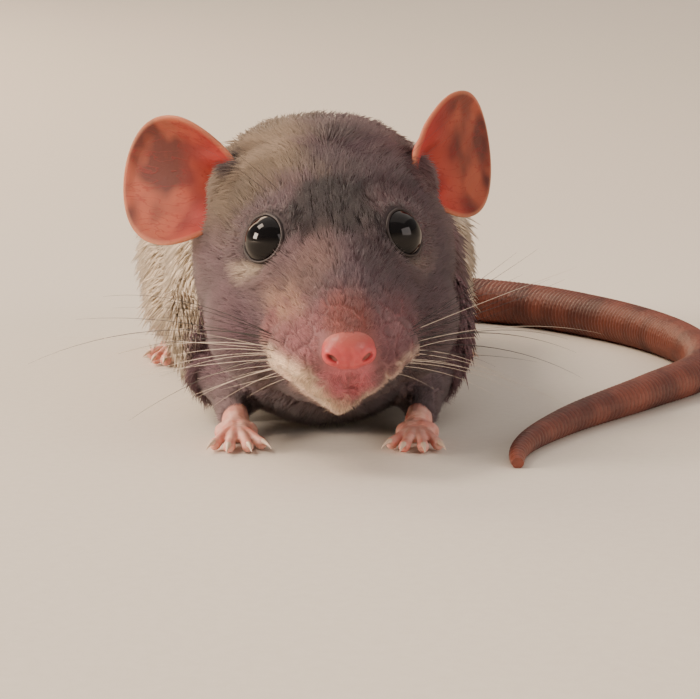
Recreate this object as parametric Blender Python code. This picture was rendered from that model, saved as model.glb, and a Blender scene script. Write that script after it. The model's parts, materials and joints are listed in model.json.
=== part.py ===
# A young pet rat, crouched low with its head up and its tail curled round one side.
# Life size, in metres. The rat looks along -Y, +Z is up and +X is its own left side.
# Sizes are of the outline out to the tips of the coat, and the floor is at z = 0.
import math

import bmesh
import bpy
import numpy as np
from mathutils import Matrix, Vector

MM = 0.001

# Driving dimensions, in millimetres and degrees.
NOSE_HEIGHT = 13.6
HEAD_PITCH, HEAD_YAW, HEAD_ROLL = 10.0, 5.4, 2.0
HEAD_LENGTH = 42.0
HEAD_HALF_WIDTH = 15.5
BODY_LENGTH = 136.0
BACK_HEIGHT = 36.9
BODY_HALF_WIDTH = 22.5
TAIL_LENGTH = 184.0
TAIL_ROOT_RADIUS, TAIL_TIP_RADIUS = 4.4, 0.6
EAR_LENGTH, EAR_WIDTH, EAR_THICKNESS = 14.5, 15.5, 0.8
EYE_RADIUS = 3.1
WHISKER_RADIUS = 0.27
GAP = 0.3
# How far feet and tail are sunk before they are cut off flat at the floor.
FLOOR_SINK = 0.25
# Farther out than any point of the head or the body's middle.
BEYOND = 60
UPWARD = Vector((0, 0, 1))

# Coat and skin colours of the materials, as linear red, green and blue.
COAT_GREY = (0.105, 0.082, 0.082)
COAT_WHITE = (0.62, 0.57, 0.50)
SKIN_PINK = (0.60, 0.30, 0.25)
EAR_RED = (0.42, 0.13, 0.09)
NOSE_RED = (0.62, 0.16, 0.14)
EYE_BLACK = (0.008, 0.007, 0.008)
TAIL_BROWN = (0.30, 0.12, 0.08)

# The skins over the rough forms: voxel size, rounds of smoothing and triangles.
SKIN_VOXEL = 0.55
HEAD_ROUNDS, BODY_ROUNDS = 14, 60
HEAD_SHARE, BODY_SHARE = 3300, 2200
# How far a loft's pole lies past its last ring, and the ring that rounds a tube's end:
# how far out it lies and how wide it is, as shares of the radius.
POLE_PUSH = 0.3
DOME_PUSH, DOME_SHARE = 0.6, 0.75


def clear_scene():
    for old in list(bpy.data.objects):
        bpy.data.objects.remove(old, do_unlink=True)


def material(name, colour, roughness):
    made = bpy.data.materials.new(name)
    made.use_nodes = True
    shader = made.node_tree.nodes["Principled BSDF"]
    shader.inputs["Base Color"].default_value = (*colour, 1.0)
    shader.inputs["Roughness"].default_value = roughness
    return made


# Mesh helpers. Points are in millimetres until an object is made.
def new_object(name, points, faces):
    mesh = bpy.data.meshes.new(name)
    mesh.from_pydata([Vector(p) * MM for p in points], [], faces)
    made = bpy.data.objects.new(name, mesh)
    bpy.context.scene.collection.objects.link(made)
    shape = bmesh.new()
    shape.from_mesh(mesh)
    bmesh.ops.triangulate(shape, faces=[f for f in shape.faces if len(f.verts) > 4])
    bmesh.ops.recalc_face_normals(shape, faces=shape.faces)
    if shape.calc_volume(signed=True) < 0:
        bmesh.ops.reverse_faces(shape, faces=shape.faces)
    shape.to_mesh(mesh)
    shape.free()
    return made


def lofted(name, rings, start, end):
    """A closed skin through rings of equal count, with a pole point at each end."""
    sides = len(rings[0])
    points = [start] + [p for ring in rings for p in ring] + [end]
    faces = [(0, 1 + (k + 1) % sides, 1 + k) for k in range(sides)]
    for r in range(len(rings) - 1):
        low, high = 1 + r * sides, 1 + (r + 1) * sides
        faces += [
            (low + k, low + (k + 1) % sides, high + (k + 1) % sides, high + k)
            for k in range(sides)
        ]
    last = 1 + (len(rings) - 1) * sides
    faces += [(len(points) - 1, last + k, last + (k + 1) % sides) for k in range(sides)]
    return new_object(name, points, faces)


def smooth_between(rows, steps):
    """Rows of numbers made denser by a Catmull-Rom curve through them, steps to each span."""
    rows = np.array(rows, float)
    padded = np.vstack([2 * rows[0] - rows[1], rows, 2 * rows[-1] - rows[-2]])
    out = []
    for i in range(1, len(padded) - 2):
        a, b, c, d = padded[i - 1 : i + 3]
        for t in np.linspace(0, 1, steps, endpoint=False):
            bend = (2 * a - 5 * b + 4 * c - d) * t**2 + (3 * b - a - 3 * c + d) * t**3
            out.append(0.5 * (2 * b + (c - a) * t + bend))
    return out + [rows[-1]]


def body_ring(station, place, sides):
    """One ring round a station, whose columns are named above HEAD_STATIONS."""
    distance, shift, wide, top, bottom, middle, full_up, full_low = station
    ring = []
    for k in range(sides):
        turn = 2 * math.pi * k / sides
        c, s = math.cos(turn), math.sin(turn)
        power = 2 / (full_up if s > 0 else full_low)
        reach = top - middle if s > 0 else middle - bottom
        across = wide * math.copysign(abs(c) ** power, c)
        ring.append(place(shift + across, distance, middle + reach * math.copysign(abs(s) ** power, s)))
    return ring


def body_loft(name, stations, place, sides, steps):
    dense = smooth_between(stations, steps)
    rings = [body_ring(s, place, sides) for s in dense]
    ends = ((dense[0], -POLE_PUSH), (dense[-1], POLE_PUSH))
    return lofted(name, rings, *(place(s[1], s[0] + push, s[5]) for s, push in ends))


def ball(name, centre, radii, turn=None, extra=0.0, segments=24, rings=14):
    """An ellipsoid of these radii, turned by a 3 x 3 matrix, grown by extra all round."""
    shape = bmesh.new()
    bmesh.ops.create_uvsphere(shape, u_segments=segments, v_segments=rings, radius=1.0)
    mesh = bpy.data.meshes.new(name)
    sizes = Matrix.Diagonal([(r + extra) * MM for r in radii])
    rotation = turn if turn is not None else Matrix.Identity(3)
    place = Matrix.Translation(Vector(centre) * MM) @ (rotation @ sizes).to_4x4()
    bmesh.ops.transform(shape, matrix=place, verts=shape.verts)
    shape.to_mesh(mesh)
    shape.free()
    made = bpy.data.objects.new(name, mesh)
    bpy.context.scene.collection.objects.link(made)
    return made


def headings(path):
    last = len(path) - 1
    return [(path[min(i + 1, last)] - path[max(i - 1, 0)]).normalized() for i in range(last + 1)]


def tube(name, path, radii, sides, flat=1.0, rounded=(True, True), heads=None):
    """A tapered tube along a path. flat squeezes it in height, rounded says which ends are domed."""
    path = [Vector(p) for p in path]
    last = len(path) - 1
    heads = heads or headings(path)
    across = heads[0].cross(UPWARD)
    rings = []
    for i, point in enumerate(path):
        across = (across - heads[i] * across.dot(heads[i])).normalized()
        up = across.cross(heads[i]).normalized()
        steps = [(0.0, 1.0)]
        if i == 0 and rounded[0]:
            steps = [(-DOME_PUSH, DOME_SHARE), (0.0, 1.0)]
        if i == last and rounded[1]:
            steps = [(0.0, 1.0), (DOME_PUSH, DOME_SHARE)]
        for push, share in steps:
            middle, radius = point + heads[i] * radii[i] * push, radii[i] * share
            turns = [2 * math.pi * k / sides for k in range(sides)]
            rings.append(
                [middle + across * radius * math.cos(t) + up * radius * flat * math.sin(t) for t in turns]
            )
    start = path[0] - heads[0] * radii[0] * rounded[0]
    end = path[-1] + heads[-1] * radii[-1] * rounded[1]
    return lofted(name, rings, start, end)


def box(name, low, high, place):
    corners = [(x, y, z) for x in (low[0], high[0]) for y in (low[1], high[1]) for z in (low[2], high[2])]
    faces = [(0, 1, 3, 2), (4, 6, 7, 5), (0, 4, 5, 1), (2, 3, 7, 6), (0, 2, 6, 4), (1, 5, 7, 3)]
    return new_object(name, [place(*c) for c in corners], faces)


def baked(obj):
    """The object's modifiers applied to its mesh."""
    bpy.context.view_layer.update()
    graph = bpy.context.evaluated_depsgraph_get()
    mesh = bpy.data.meshes.new_from_object(obj.evaluated_get(graph))
    obj.modifiers.clear()
    obj.data = mesh
    return obj


def remove(*objects):
    for old in objects:
        bpy.data.objects.remove(old, do_unlink=True)


def duplicate(obj, name):
    made = obj.copy()
    made.data = obj.data.copy()
    made.name = name
    bpy.context.scene.collection.objects.link(made)
    return made


def boolean(obj, other, operation):
    step = obj.modifiers.new(operation.lower(), "BOOLEAN")
    step.operation, step.solver, step.object = operation, "EXACT", other
    return baked(obj)


def cut_by(obj, cutter):
    """Takes the cutter's space out of the object, and removes the cutter."""
    boolean(obj, cutter, "DIFFERENCE")
    remove(cutter)
    return keep_largest(obj)


def fused(name, pieces):
    """One closed body from overlapping pieces, by a union on a collection."""
    group = bpy.data.collections.new(name + "_pieces")
    bpy.context.scene.collection.children.link(group)
    for piece in pieces[1:]:
        group.objects.link(piece)
    first = pieces[0]
    step = first.modifiers.new("union", "BOOLEAN")
    step.operation, step.solver, step.operand_type, step.collection = "UNION", "EXACT", "COLLECTION", group
    baked(first)
    bpy.data.collections.remove(group)
    remove(*pieces[1:])
    first.name = name
    return keep_largest(first)


def keep_largest(obj):
    """Only the largest closed surface of the mesh stays."""
    shape = bmesh.new()
    shape.from_mesh(obj.data)
    left, groups = set(shape.faces), []
    while left:
        todo, group = [left.pop()], []
        while todo:
            face = todo.pop()
            group.append(face)
            for edge in face.edges:
                fresh = [other for other in edge.link_faces if other in left]
                left.difference_update(fresh)
                todo += fresh
        groups.append(group)
    groups.sort(key=lambda g: sum(f.calc_area() for f in g), reverse=True)
    spare = [f for g in groups[1:] for f in g]
    bmesh.ops.delete(shape, geom=spare, context="FACES")
    bmesh.ops.delete(shape, geom=[v for v in shape.verts if not v.link_faces], context="VERTS")
    bmesh.ops.remove_doubles(shape, verts=shape.verts, dist=1e-7)
    bmesh.ops.dissolve_degenerate(shape, edges=shape.edges, dist=1e-6)
    shape.to_mesh(obj.data)
    shape.free()
    return obj


def skinned(name, pieces, voxel, rounds):
    """One smooth skin over overlapping pieces."""
    first = pieces[0]
    shape = bmesh.new()
    for piece in pieces:
        shape.from_mesh(piece.data)
    shape.to_mesh(first.data)
    shape.free()
    remove(*pieces[1:])
    first.name = name
    remesh = first.modifiers.new("remesh", "REMESH")
    remesh.mode, remesh.voxel_size = "VOXEL", voxel * MM
    return softened(first, rounds)


def softened(obj, rounds):
    soften = obj.modifiers.new("soften", "SMOOTH")
    soften.factor, soften.iterations = 0.5, rounds
    return baked(obj)


def simplified(obj, triangles):
    """The skin brought down to about this many triangles."""
    fewer = obj.modifiers.new("fewer", "DECIMATE")
    fewer.ratio = triangles / (2 * len(obj.data.polygons))
    fewer.use_collapse_triangulate = True
    return keep_largest(baked(obj))


def parted(whole, name, region):
    """Takes what lies in the region off the whole as a node of its own, with the gap between them."""
    piece = duplicate(whole, name)
    inner = region(0.0)
    boolean(piece, inner, "INTERSECT")
    remove(inner)
    cut_by(whole, region(GAP))
    return keep_largest(piece)


def cut_at_floor(obj):
    """What would sink below the floor is cut off flat."""
    return cut_by(obj, box("under_floor", (-BEYOND, -BEYOND, -20), (BEYOND, 3 * BEYOND, 0), on_body))


# The head's own frame: across to the rat's left, back from the nose tip, and up.
def head_axes():
    pitch, yaw, roll = (math.radians(a) for a in (HEAD_PITCH, HEAD_YAW, HEAD_ROLL))
    back = Vector((-math.sin(yaw) * math.cos(pitch), math.cos(yaw) * math.cos(pitch), math.sin(pitch)))
    up = Vector((math.sin(yaw) * math.sin(pitch), -math.cos(yaw) * math.sin(pitch), math.cos(pitch)))
    up = Matrix.Rotation(-roll, 3, back) @ up
    return back.cross(up), back, up


ACROSS, BACK, UP = head_axes()
HEAD_TURN = Matrix((ACROSS, BACK, UP)).transposed()
NOSE_TIP = Vector((0, 0, NOSE_HEIGHT))


def on_head(across, back, up):
    return NOSE_TIP + ACROSS * across + BACK * back + UP * up


def head_way(across, back, up):
    return (ACROSS * across + BACK * back + UP * up).normalized()


def on_body(x, y, z):
    return Vector((x, y, z))


# Rings of the head: back from the nose, side shift, half width, top, bottom, height of the widest
# line, and how full the upper and the lower half are (2 is an ellipse).
HEAD_STATIONS = (
    (0.7, 0, 1.7, 0.8, -1.9, -0.5, 2.0, 2.0),
    (1.8, 0, 2.9, 1.9, -3.1, -0.8, 2.0, 2.0),
    (3.6, 0, 4.2, 3.0, -4.4, -1.3, 1.9, 2.2),
    (6.0, 0, 5.7, 4.4, -5.4, -1.9, 1.8, 2.3),
    (9.0, 0, 7.0, 6.0, -6.6, -2.0, 1.8, 2.3),
    (12.5, 0, 8.4, 8.0, -8.6, -1.8, 1.9, 2.2),
    (16.0, 0, 10.0, 10.0, -10.2, -1.2, 2.0, 2.2),
    (20.0, 0, 12.0, 12.2, -11.4, -0.6, 2.1, 2.2),
    (24.0, 0, 13.8, 14.2, -12.2, 0.0, 2.1, 2.2),
    (28.0, 0, HEAD_HALF_WIDTH - 0.5, 15.8, -12.8, 0.4, 2.2, 2.2),
    (32.0, 0, HEAD_HALF_WIDTH, 16.7, -13.2, 0.6, 2.3, 2.2),
    (36.0, 0, HEAD_HALF_WIDTH, 17.1, -13.4, 0.8, 2.3, 2.2),
    (HEAD_LENGTH, 0, HEAD_HALF_WIDTH - 0.3, 16.6, -13.0, 0.8, 2.3, 2.2),
    (HEAD_LENGTH + 6, 0, HEAD_HALF_WIDTH - 2.5, 14.0, -11.0, 0.8, 2.2, 2.2),
)
JAW_STATIONS = (
    (4.7, 0, 1.8, -6.2, -8.3, -7.2, 2.0, 2.0),
    (6.2, 0, 3.1, -5.6, -9.3, -7.3, 2.0, 2.0),
    (9.0, 0, 4.5, -5.2, -10.1, -7.5, 2.0, 2.0),
    (13.0, 0, 6.2, -5.0, -11.0, -7.6, 2.0, 2.0),
    (18.0, 0, 8.2, -4.0, -11.8, -7.4, 2.0, 2.0),
)
# The eyes, and the rounded forms on each side of the head: centre and radii, in the head's frame.
EYE_CENTRE = Vector((6.6, 18.4, 6.7))
EYE_LOOK = Vector((0.74, -0.54, 0.38)).normalized()
BROW_SUNK = 2.9
WHISKER_PAD = ((4.3, 7.8, -2.7), (3.7, 5.7, 4.1))
UPPER_LIP = ((2.1, 4.7, -4.3), (2.5, 2.8, 2.4))
CHEEK = ((7.6, 23.5, -3.6), (6.9, 10.6, 7.6))
BROW = (tuple(EYE_CENTRE - EYE_LOOK * BROW_SUNK), (4.4, 6.2, 4.6))
EAR_SEAT = ((9.6, 31.5, 8.6), (4.6, 5.6, 6.4))
HEAD_FORMS = (WHISKER_PAD, UPPER_LIP, CHEEK, BROW, EAR_SEAT)

# Rings of the torso, with the same columns, back from the nose tip along the floor.
TORSO_STATIONS = (
    (24.0, -2.4, 10.0, 29.0, 8.0, 18.5, 2.1, 2.1),
    (31.0, -2.8, 13.8, 33.6, 4.6, 18.0, 2.2, 2.1),
    (39.0, -3.4, 15.4, BACK_HEIGHT - 2.1, 2.6, 17.4, 2.2, 2.1),
    (48.0, -4.0, 16.2, BACK_HEIGHT - 2.5, 1.3, 16.6, 2.1, 2.2),
    (59.0, -4.7, 17.4, BACK_HEIGHT - 1.9, 0.6, 16.2, 2.1, 2.3),
    (71.0, -5.4, 19.2, BACK_HEIGHT - 0.7, 0.1, 15.8, 2.1, 2.4),
    (84.0, -6.1, BODY_HALF_WIDTH - 1.3, BACK_HEIGHT, -2 * FLOOR_SINK, 15.6, 2.1, 2.5),
    (95.0, -6.7, BODY_HALF_WIDTH - 0.2, BACK_HEIGHT - 0.3, -2 * FLOOR_SINK, 15.6, 2.1, 2.5),
    (106.0, -7.2, BODY_HALF_WIDTH - 0.7, BACK_HEIGHT - 2.6, 0.0, 15.2, 2.1, 2.4),
    (116.0, -7.7, BODY_HALF_WIDTH - 3.0, BACK_HEIGHT - 7.2, 0.8, 14.2, 2.1, 2.2),
    (125.0, -8.0, 15.4, 23.6, 1.6, 12.2, 2.0, 2.1),
    (131.5, -8.2, 10.4, 17.2, 2.2, 9.4, 2.0, 2.0),
    (BODY_LENGTH - 0.6, -8.3, 6.0, 12.0, 2.6, 7.2, 2.0, 2.0),
)

# Limbs on the rat's left, with x from the body's middle line. The right side mirrors them.
FORELEG_PATH = ((11.0, 52.0, 17.0), (13.6, 45.0, 10.6), (12.8, 36.0, 6.6), (11.0, 27.5, 4.2))
FORELEG_RADII = (7.5, 6.2, 4.2, 2.9)
SHOULDER = ((8.4, 52.0, 17.0), (10.4, 14.0, 13.0))
THIGH = ((13.4, 98.0, 14.4), (11.9, 23.0, 15.6))
KNEE = ((15.0, 84.0, 9.4), (8.6, 12.0, 9.0))
ANKLE = ((16.0, 108.0, 7.0), (7.4, 12.0, 6.8))
BODY_FORMS = (SHOULDER, THIGH, KNEE, ANKLE)

# Hands and feet: the wrist runs from the root to the palm, and digits fan out from the palm or
# the ball of the foot, each starting a little way out along its own heading.
HAND_ROOT = (11.0, 27.5, 3.5)
HAND_RADIUS = 1.9
HAND_TURN = 6.0
WRIST_STEPS = ((0.0, 0.0), (2.6, 0.9), (5.4, 1.5))
PALM_REACH = 6.4
PALM_RADII = (2.6, 2.9, 1.7)
FINGER_SPREAD = (-27.0, -9.0, 9.0, 27.0)
FINGER_LENGTH = (3.8, 4.8, 4.8, 3.9)
FINGER_RADIUS, FINGER_HEIGHT = 0.78, 1.4
HEEL, FOOT_BALL = (17.6, 111.0), (20.4, 88.0)
FOOT_RADII = (2.5, 2.3, 2.9)
FOOT_FLAT = 0.82
TOE_SPREAD = (-30.0, -11.0, 0.0, 11.0, 30.0)
TOE_LENGTH = (4.8, 7.0, 7.6, 7.0, 5.2)
TOE_BACK = (3.0, 0.6, 0.0, 0.6, 2.6)
TOE_RADIUS, TOE_HEIGHT = 0.95, 1.5
DIGIT_START = 1.8
CLAW_LENGTH, CLAW_RADIUS = 1.4, 0.36
DIGIT_SINK = 0.15


def body_middle(distance):
    """Side shift of the body's middle at this distance behind the nose."""
    rows = np.array(TORSO_STATIONS)
    return float(np.interp(distance, rows[:, 0], rows[:, 1]))


def beside(point, side):
    x, y, z = point
    return Vector((body_middle(y) + x * side, y, z))


def head_ball(name, form, side=1, extra=0.0, turn=None, **how):
    (across, back, up), radii = form
    rotation = HEAD_TURN @ turn if turn is not None else HEAD_TURN
    return ball(name, on_head(across * side, back, up), radii, turn=rotation, extra=extra, **how)


def body_ball(name, form, side, extra=0.0, **how):
    return ball(name, beside(form[0], side), form[1], extra=extra, **how)


def arm_tube(side, extra=0.0):
    path = smooth_between([beside(p, side) for p in FORELEG_PATH], 3)
    radii = [float(r[0]) + extra for r in smooth_between([[r] for r in FORELEG_RADII], 3)]
    return tube("arm", path, radii, sides=14)


def whole_skin():
    """Head, torso and legs as one smooth skin, before it is parted."""
    pieces = [
        body_loft("head_form", HEAD_STATIONS, on_head, sides=40, steps=4),
        body_loft("jaw_form", JAW_STATIONS, on_head, sides=24, steps=3),
        body_loft("torso_form", TORSO_STATIONS, on_body, sides=40, steps=4),
    ]
    for side in (-1, 1):
        pieces += [head_ball("form", form, side) for form in HEAD_FORMS]
        pieces += [body_ball("form", form, side) for form in BODY_FORMS]
        pieces.append(arm_tube(side))
    return skinned("skin", pieces, SKIN_VOXEL, HEAD_ROUNDS)


# Regions that part the skins into nodes. Each takes the extra that makes the gap.
NECK_FRONT, NECK_REAR = 35.0, 49.0
JAW_REGION = ((0, 7.0, -13.7), (8.6, 9.6, 7.4))
PAD_REGION = ((6.0, 8.0, -2.8), (4.0, 5.0, 3.6))
HINDLEG_REGION = ((19.0, 97.0, 12.0), (11.5, 26.0, 17.0))
ARM_ROOM = 0.6


def in_front_of_neck(extra):
    return box("region", (-BEYOND, -20, -BEYOND), (BEYOND, NECK_FRONT + extra, BEYOND), on_head)


def in_front_of_torso(extra):
    return box("region", (-BEYOND, -20, -BEYOND), (BEYOND, NECK_REAR + extra, BEYOND), on_body)


def jaw_region(extra):
    return head_ball("region", JAW_REGION, extra=extra, segments=20, rings=12)


def pad_region(side):
    return lambda extra: head_ball("region", PAD_REGION, side, extra, segments=16, rings=10)


def foreleg_region(side):
    return lambda extra: arm_tube(side, ARM_ROOM + extra)


def hindleg_region(side):
    return lambda extra: body_ball("region", HINDLEG_REGION, side, extra, segments=20, rings=12)


# Eyes, lids and nose.
LID_RADIUS, LID_HEIGHT, LID_REACH = 0.6, 1.6, 3.05
NOSE_PAD = ((0, 1.9, -0.5), (2.75, 2.1, 2.2))
NOSE_WING = ((1.35, 1.15, -0.75), (1.45, 1.25, 1.35))
NOSTRIL = ((1.9, 0.25, -0.75), (0.85, 1.0, 0.42))
NOSTRIL_TILT = 28


def eye_ball(name, side, extra=0.0):
    centre = on_head(EYE_CENTRE.x * side, EYE_CENTRE.y, EYE_CENTRE.z)
    return ball(name, centre, (EYE_RADIUS,) * 3, extra=extra, segments=16, rings=10)


def lid_ring(side):
    """A ridge of lid round the eye's opening."""
    look = head_way(EYE_LOOK.x * side, EYE_LOOK.y, EYE_LOOK.z)
    turn = look.to_track_quat("Z", "Y").to_matrix()
    middle = on_head(EYE_CENTRE.x * side, EYE_CENTRE.y, EYE_CENTRE.z) + look * LID_HEIGHT
    around, thick = 20, 5
    points = []
    for i in range(around):
        a = 2 * math.pi * i / around
        for k in range(thick):
            b = 2 * math.pi * k / thick
            reach = LID_REACH + LID_RADIUS * math.cos(b)
            rise = LID_RADIUS * math.sin(b)
            points.append(middle + turn @ Vector((reach * math.cos(a), reach * math.sin(a), rise)))
    faces = []
    for i in range(around):
        here, there = i * thick, (i + 1) % around * thick
        for k in range(thick):
            after = (k + 1) % thick
            faces.append((here + k, there + k, there + after, here + after))
    return new_object("lid", points, faces)


def nose_form(name, extra=0.0):
    pieces = [head_ball(name, NOSE_PAD, extra=extra, segments=14, rings=8)]
    pieces += [head_ball("wing", NOSE_WING, side, extra, segments=10, rings=6) for side in (-1, 1)]
    return fused(name, pieces)


def nose():
    made = nose_form("nose")
    for side in (-1, 1):
        tilt = Matrix.Rotation(math.radians(NOSTRIL_TILT * side), 3, "Y")
        cut_by(made, head_ball("nostril", NOSTRIL, side, turn=tilt, segments=8, rings=5))
    return made


# Ears, laid back and open to the side and front. Directions are in the head's frame, and cup is
# how far an ear's sides curl forward. The rat's left ear is turned further back and is flatter.
EARS = {
    "ear_right": dict(
        root=(-12.2, 31.0, 10.2), grow=(-0.79, 0.60, 0.02), face=(-0.56, -0.78, 0.26), cup=3.0
    ),
    "ear_left": dict(
        root=(12.8, 30.9, 11.9), grow=(0.617, 0.785, 0.055), face=(0.745, -0.650, 0.150), cup=0.9
    ),
}
EAR_AROUND, EAR_RINGS = 24, 4
# How far the ear reaches into the head before it is cut, how deep it is hollowed above the root,
# how far its tip bends back, and how much it narrows to the root.
EAR_SUNK = 4.0
EAR_HOLLOW, EAR_BEND = 1.6, 0.9
EAR_NARROW = 0.40
EAR_ROOT_THICKER, EAR_RIM_SHARE = 0.9, 0.65


def ear_frame(facts):
    grow = head_way(*facts["grow"])
    face = head_way(*facts["face"])
    face = (face - grow * face.dot(grow)).normalized()
    return grow.cross(face), grow, face


def ear_point(facts, share, turn):
    """A point of the ear's middle sheet: share runs from its centre to the rim, turn round it."""
    wide, grow, face = ear_frame(facts)
    along = math.cos(turn)
    reach = (EAR_LENGTH + EAR_SUNK) / 2
    v = reach * along * share
    narrow = 1.0 - EAR_NARROW * max(0.0, -along) ** 2
    h = EAR_WIDTH / 2 * math.sin(turn) * share * narrow
    side = 2 * h / EAR_WIDTH
    lift = facts["cup"] * side * side * (1.0 - 0.35 * along * share)
    hollow = EAR_HOLLOW * math.exp(-((v / reach + 0.55) ** 2) / 0.10 - side * side / 0.25)
    bend = EAR_BEND * (max(0.0, along) * share) ** 2
    middle = on_head(*facts["root"]) + grow * (EAR_LENGTH - EAR_SUNK) / 2
    return middle + wide * h + grow * v + face * (lift - hollow - bend)


def ear_mesh(name):
    """A cupped sheet with the same triangles on both faces, thick at the root and thin at the rim."""
    facts = EARS[name]
    step = 0.02
    outer = ear_frame(facts)[2]
    front, rear = [], []
    for r in range(EAR_RINGS + 1):
        share = max(r / EAR_RINGS, step)
        for k in range(EAR_AROUND if r else 1):
            turn = 2 * math.pi * k / EAR_AROUND
            here = ear_point(facts, r / EAR_RINGS, turn)
            outward = ear_point(facts, share + step, turn) - ear_point(facts, share, turn)
            sideways = ear_point(facts, share, turn + step) - ear_point(facts, share, turn)
            normal = sideways.cross(outward).normalized() if r else outer
            normal *= math.copysign(1, normal.dot(outer))
            half = EAR_THICKNESS / 2 * (1.0 + EAR_ROOT_THICKER * max(0.0, -math.cos(turn)) * share)
            half *= 1.0 if r < EAR_RINGS else EAR_RIM_SHARE
            front.append(here + normal * half)
            rear.append(here - normal * half)
    count = len(front)

    def at(r, k):
        return 0 if r == 0 else 1 + (r - 1) * EAR_AROUND + k % EAR_AROUND

    faces = []
    for k in range(EAR_AROUND):
        sheet = [(at(0, 0), at(1, k), at(1, k + 1))]
        for r in range(1, EAR_RINGS):
            sheet.append((at(r, k), at(r + 1, k), at(r + 1, k + 1)))
            sheet.append((at(r, k), at(r + 1, k + 1), at(r, k + 1)))
        faces += sheet + [tuple(i + count for i in reversed(face)) for face in sheet]
        a, b = at(EAR_RINGS, k), at(EAR_RINGS, k + 1)
        faces += [(a, a + count, b + count), (a, b + count, b)]
    return new_object(name, front + rear, faces)


def grown(obj):
    """A copy of the skin pushed out by the gap, to cut what grows from it."""
    made = duplicate(obj, "grown")
    push = made.modifiers.new("push", "DISPLACE")
    push.strength, push.mid_level = GAP * MM, 0.0
    return baked(made)


# Hands and feet, on the body's middle line like the legs.
def turned(direction, degrees):
    return Matrix.Rotation(math.radians(degrees), 3, "Z") @ direction


def digit(start, heading, length, radius, extra=0.0):
    """A finger or toe with its claw: arched up, then down to a pad that rests on the floor."""
    ground = Vector((start.x, start.y, 0))
    heights = (start.z, radius * 1.6, radius - DIGIT_SINK)
    path = [ground + heading * length * t + Vector((0, 0, h)) for t, h in zip((0, 0.5, 1), heights)]
    sizes = [radius * share + extra for share in (1.05, 0.95, 0.95)]
    finger = tube("digit", path, sizes, sides=6)
    tip = ground + heading * (length + radius * 0.3)
    claw_path = [tip + UPWARD * radius * 1.1, tip + heading * CLAW_LENGTH + UPWARD * CLAW_RADIUS * 0.5]
    claw_sizes = [CLAW_RADIUS * share + extra for share in (1, 0.4)]
    claw = tube("claw", claw_path, claw_sizes, sides=4, rounded=(False, True))
    return [finger, claw]


def hand_heading(side):
    return turned(Vector((0, -1, 0)), -HAND_TURN * side)


def wrist(side, extra=0.0):
    root, heading = beside(HAND_ROOT, side), hand_heading(side)
    path = [root + heading * reach - UPWARD * down for reach, down in WRIST_STEPS]
    return tube("wrist", path, [HAND_RADIUS * share + extra for share in (1, 0.95, 1.05)], sides=10)


def forepaw(name, side):
    root, heading = beside(HAND_ROOT, side), hand_heading(side)
    centre = root + heading * PALM_REACH
    centre.z = PALM_RADII[2] - FLOOR_SINK
    pieces = [ball("palm", centre, PALM_RADII, segments=12, rings=8), wrist(side)]
    for spread, length in zip(FINGER_SPREAD, FINGER_LENGTH):
        way = turned(heading, spread)
        start = centre + way * DIGIT_START
        start.z = FINGER_HEIGHT
        pieces += digit(start, way, length, FINGER_RADIUS)
    return cut_at_floor(fused(name, pieces))


def hindfoot(name, side, extra=0.0):
    heel, front = (beside((*place, 0), side) for place in (HEEL, FOOT_BALL))
    heading = (front - heel).normalized()
    path = [heel.lerp(front, t) for t in (0, 0.5, 1)]
    for point, radius in zip(path, FOOT_RADII):
        point.z = radius * FOOT_FLAT - FLOOR_SINK
    pieces = [tube("sole", path, [r + extra for r in FOOT_RADII], sides=10, flat=FOOT_FLAT)]
    for spread, length, back in zip(TOE_SPREAD, TOE_LENGTH, TOE_BACK):
        way = turned(heading, spread)
        start = front - heading * back + way * DIGIT_START
        start.z = TOE_HEIGHT
        pieces += digit(start, way, length, TOE_RADIUS, extra)
    return fused(name, pieces)


# Tail: it leaves the rump and curls forward on the floor along the rat's left side. The third
# number is how far it is lifted off the floor.
TAIL_ROUTE = (
    (-8.3, 126.0, 4.6), (-5.6, 132.6, 2.4), (2.0, 138.0, 0.7), (15.0, 138.0, 0), (31.0, 127.0, 0),
    (42.5, 109.0, 0), (48.8, 91.0, 0), (50.5, 73.5, 0), (47.4, 58.0, 0), (37.6, 43.0, 0),
    (24.8, 25.0, 0), (18.0, 10.0, 0), (19.5, -4.0, 0), (26.0, -14.0, 0),
)
TAIL_NODES = 6
TAIL_POINTS = 8
TAIL_TAPER = 0.62


def tail_path():
    """Points at even steps along the tail's middle, from root to tip, with the radius at each."""
    dense = np.array([list(p) for p in smooth_between(TAIL_ROUTE, 12)])
    travelled = np.concatenate([[0], np.cumsum(np.linalg.norm(np.diff(dense, axis=0), axis=1))])
    count = TAIL_NODES * TAIL_POINTS
    path, radii = [], []
    for i in range(count + 1):
        x, y, lift = (np.interp(TAIL_LENGTH * i / count, travelled, dense[:, k]) for k in range(3))
        radius = TAIL_TIP_RADIUS + (TAIL_ROOT_RADIUS - TAIL_TIP_RADIUS) * (1 - i / count) ** TAIL_TAPER
        path.append(Vector((x, y, radius - FLOOR_SINK + lift)))
        radii.append(radius)
    return path, radii


def tail_root(extra):
    path, radii = tail_path()
    return tube("tail_root", path[:TAIL_POINTS], [r + extra for r in radii[:TAIL_POINTS]], sides=10)


def tail():
    path, radii = tail_path()
    heads = headings(path)
    made = []
    for n in range(TAIL_NODES):
        span = slice(n * TAIL_POINTS, (n + 1) * TAIL_POINTS + 1)
        points, ends = path[span], (n == 0, n == TAIL_NODES - 1)
        if not ends[1]:
            points[-1] = points[-1] - heads[span][-1] * GAP
        made.append(tube(f"tail_{n + 1}", points, radii[span], sides=10, rounded=ends, heads=heads[span]))
    return [cut_at_floor(piece) for piece in made]


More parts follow.
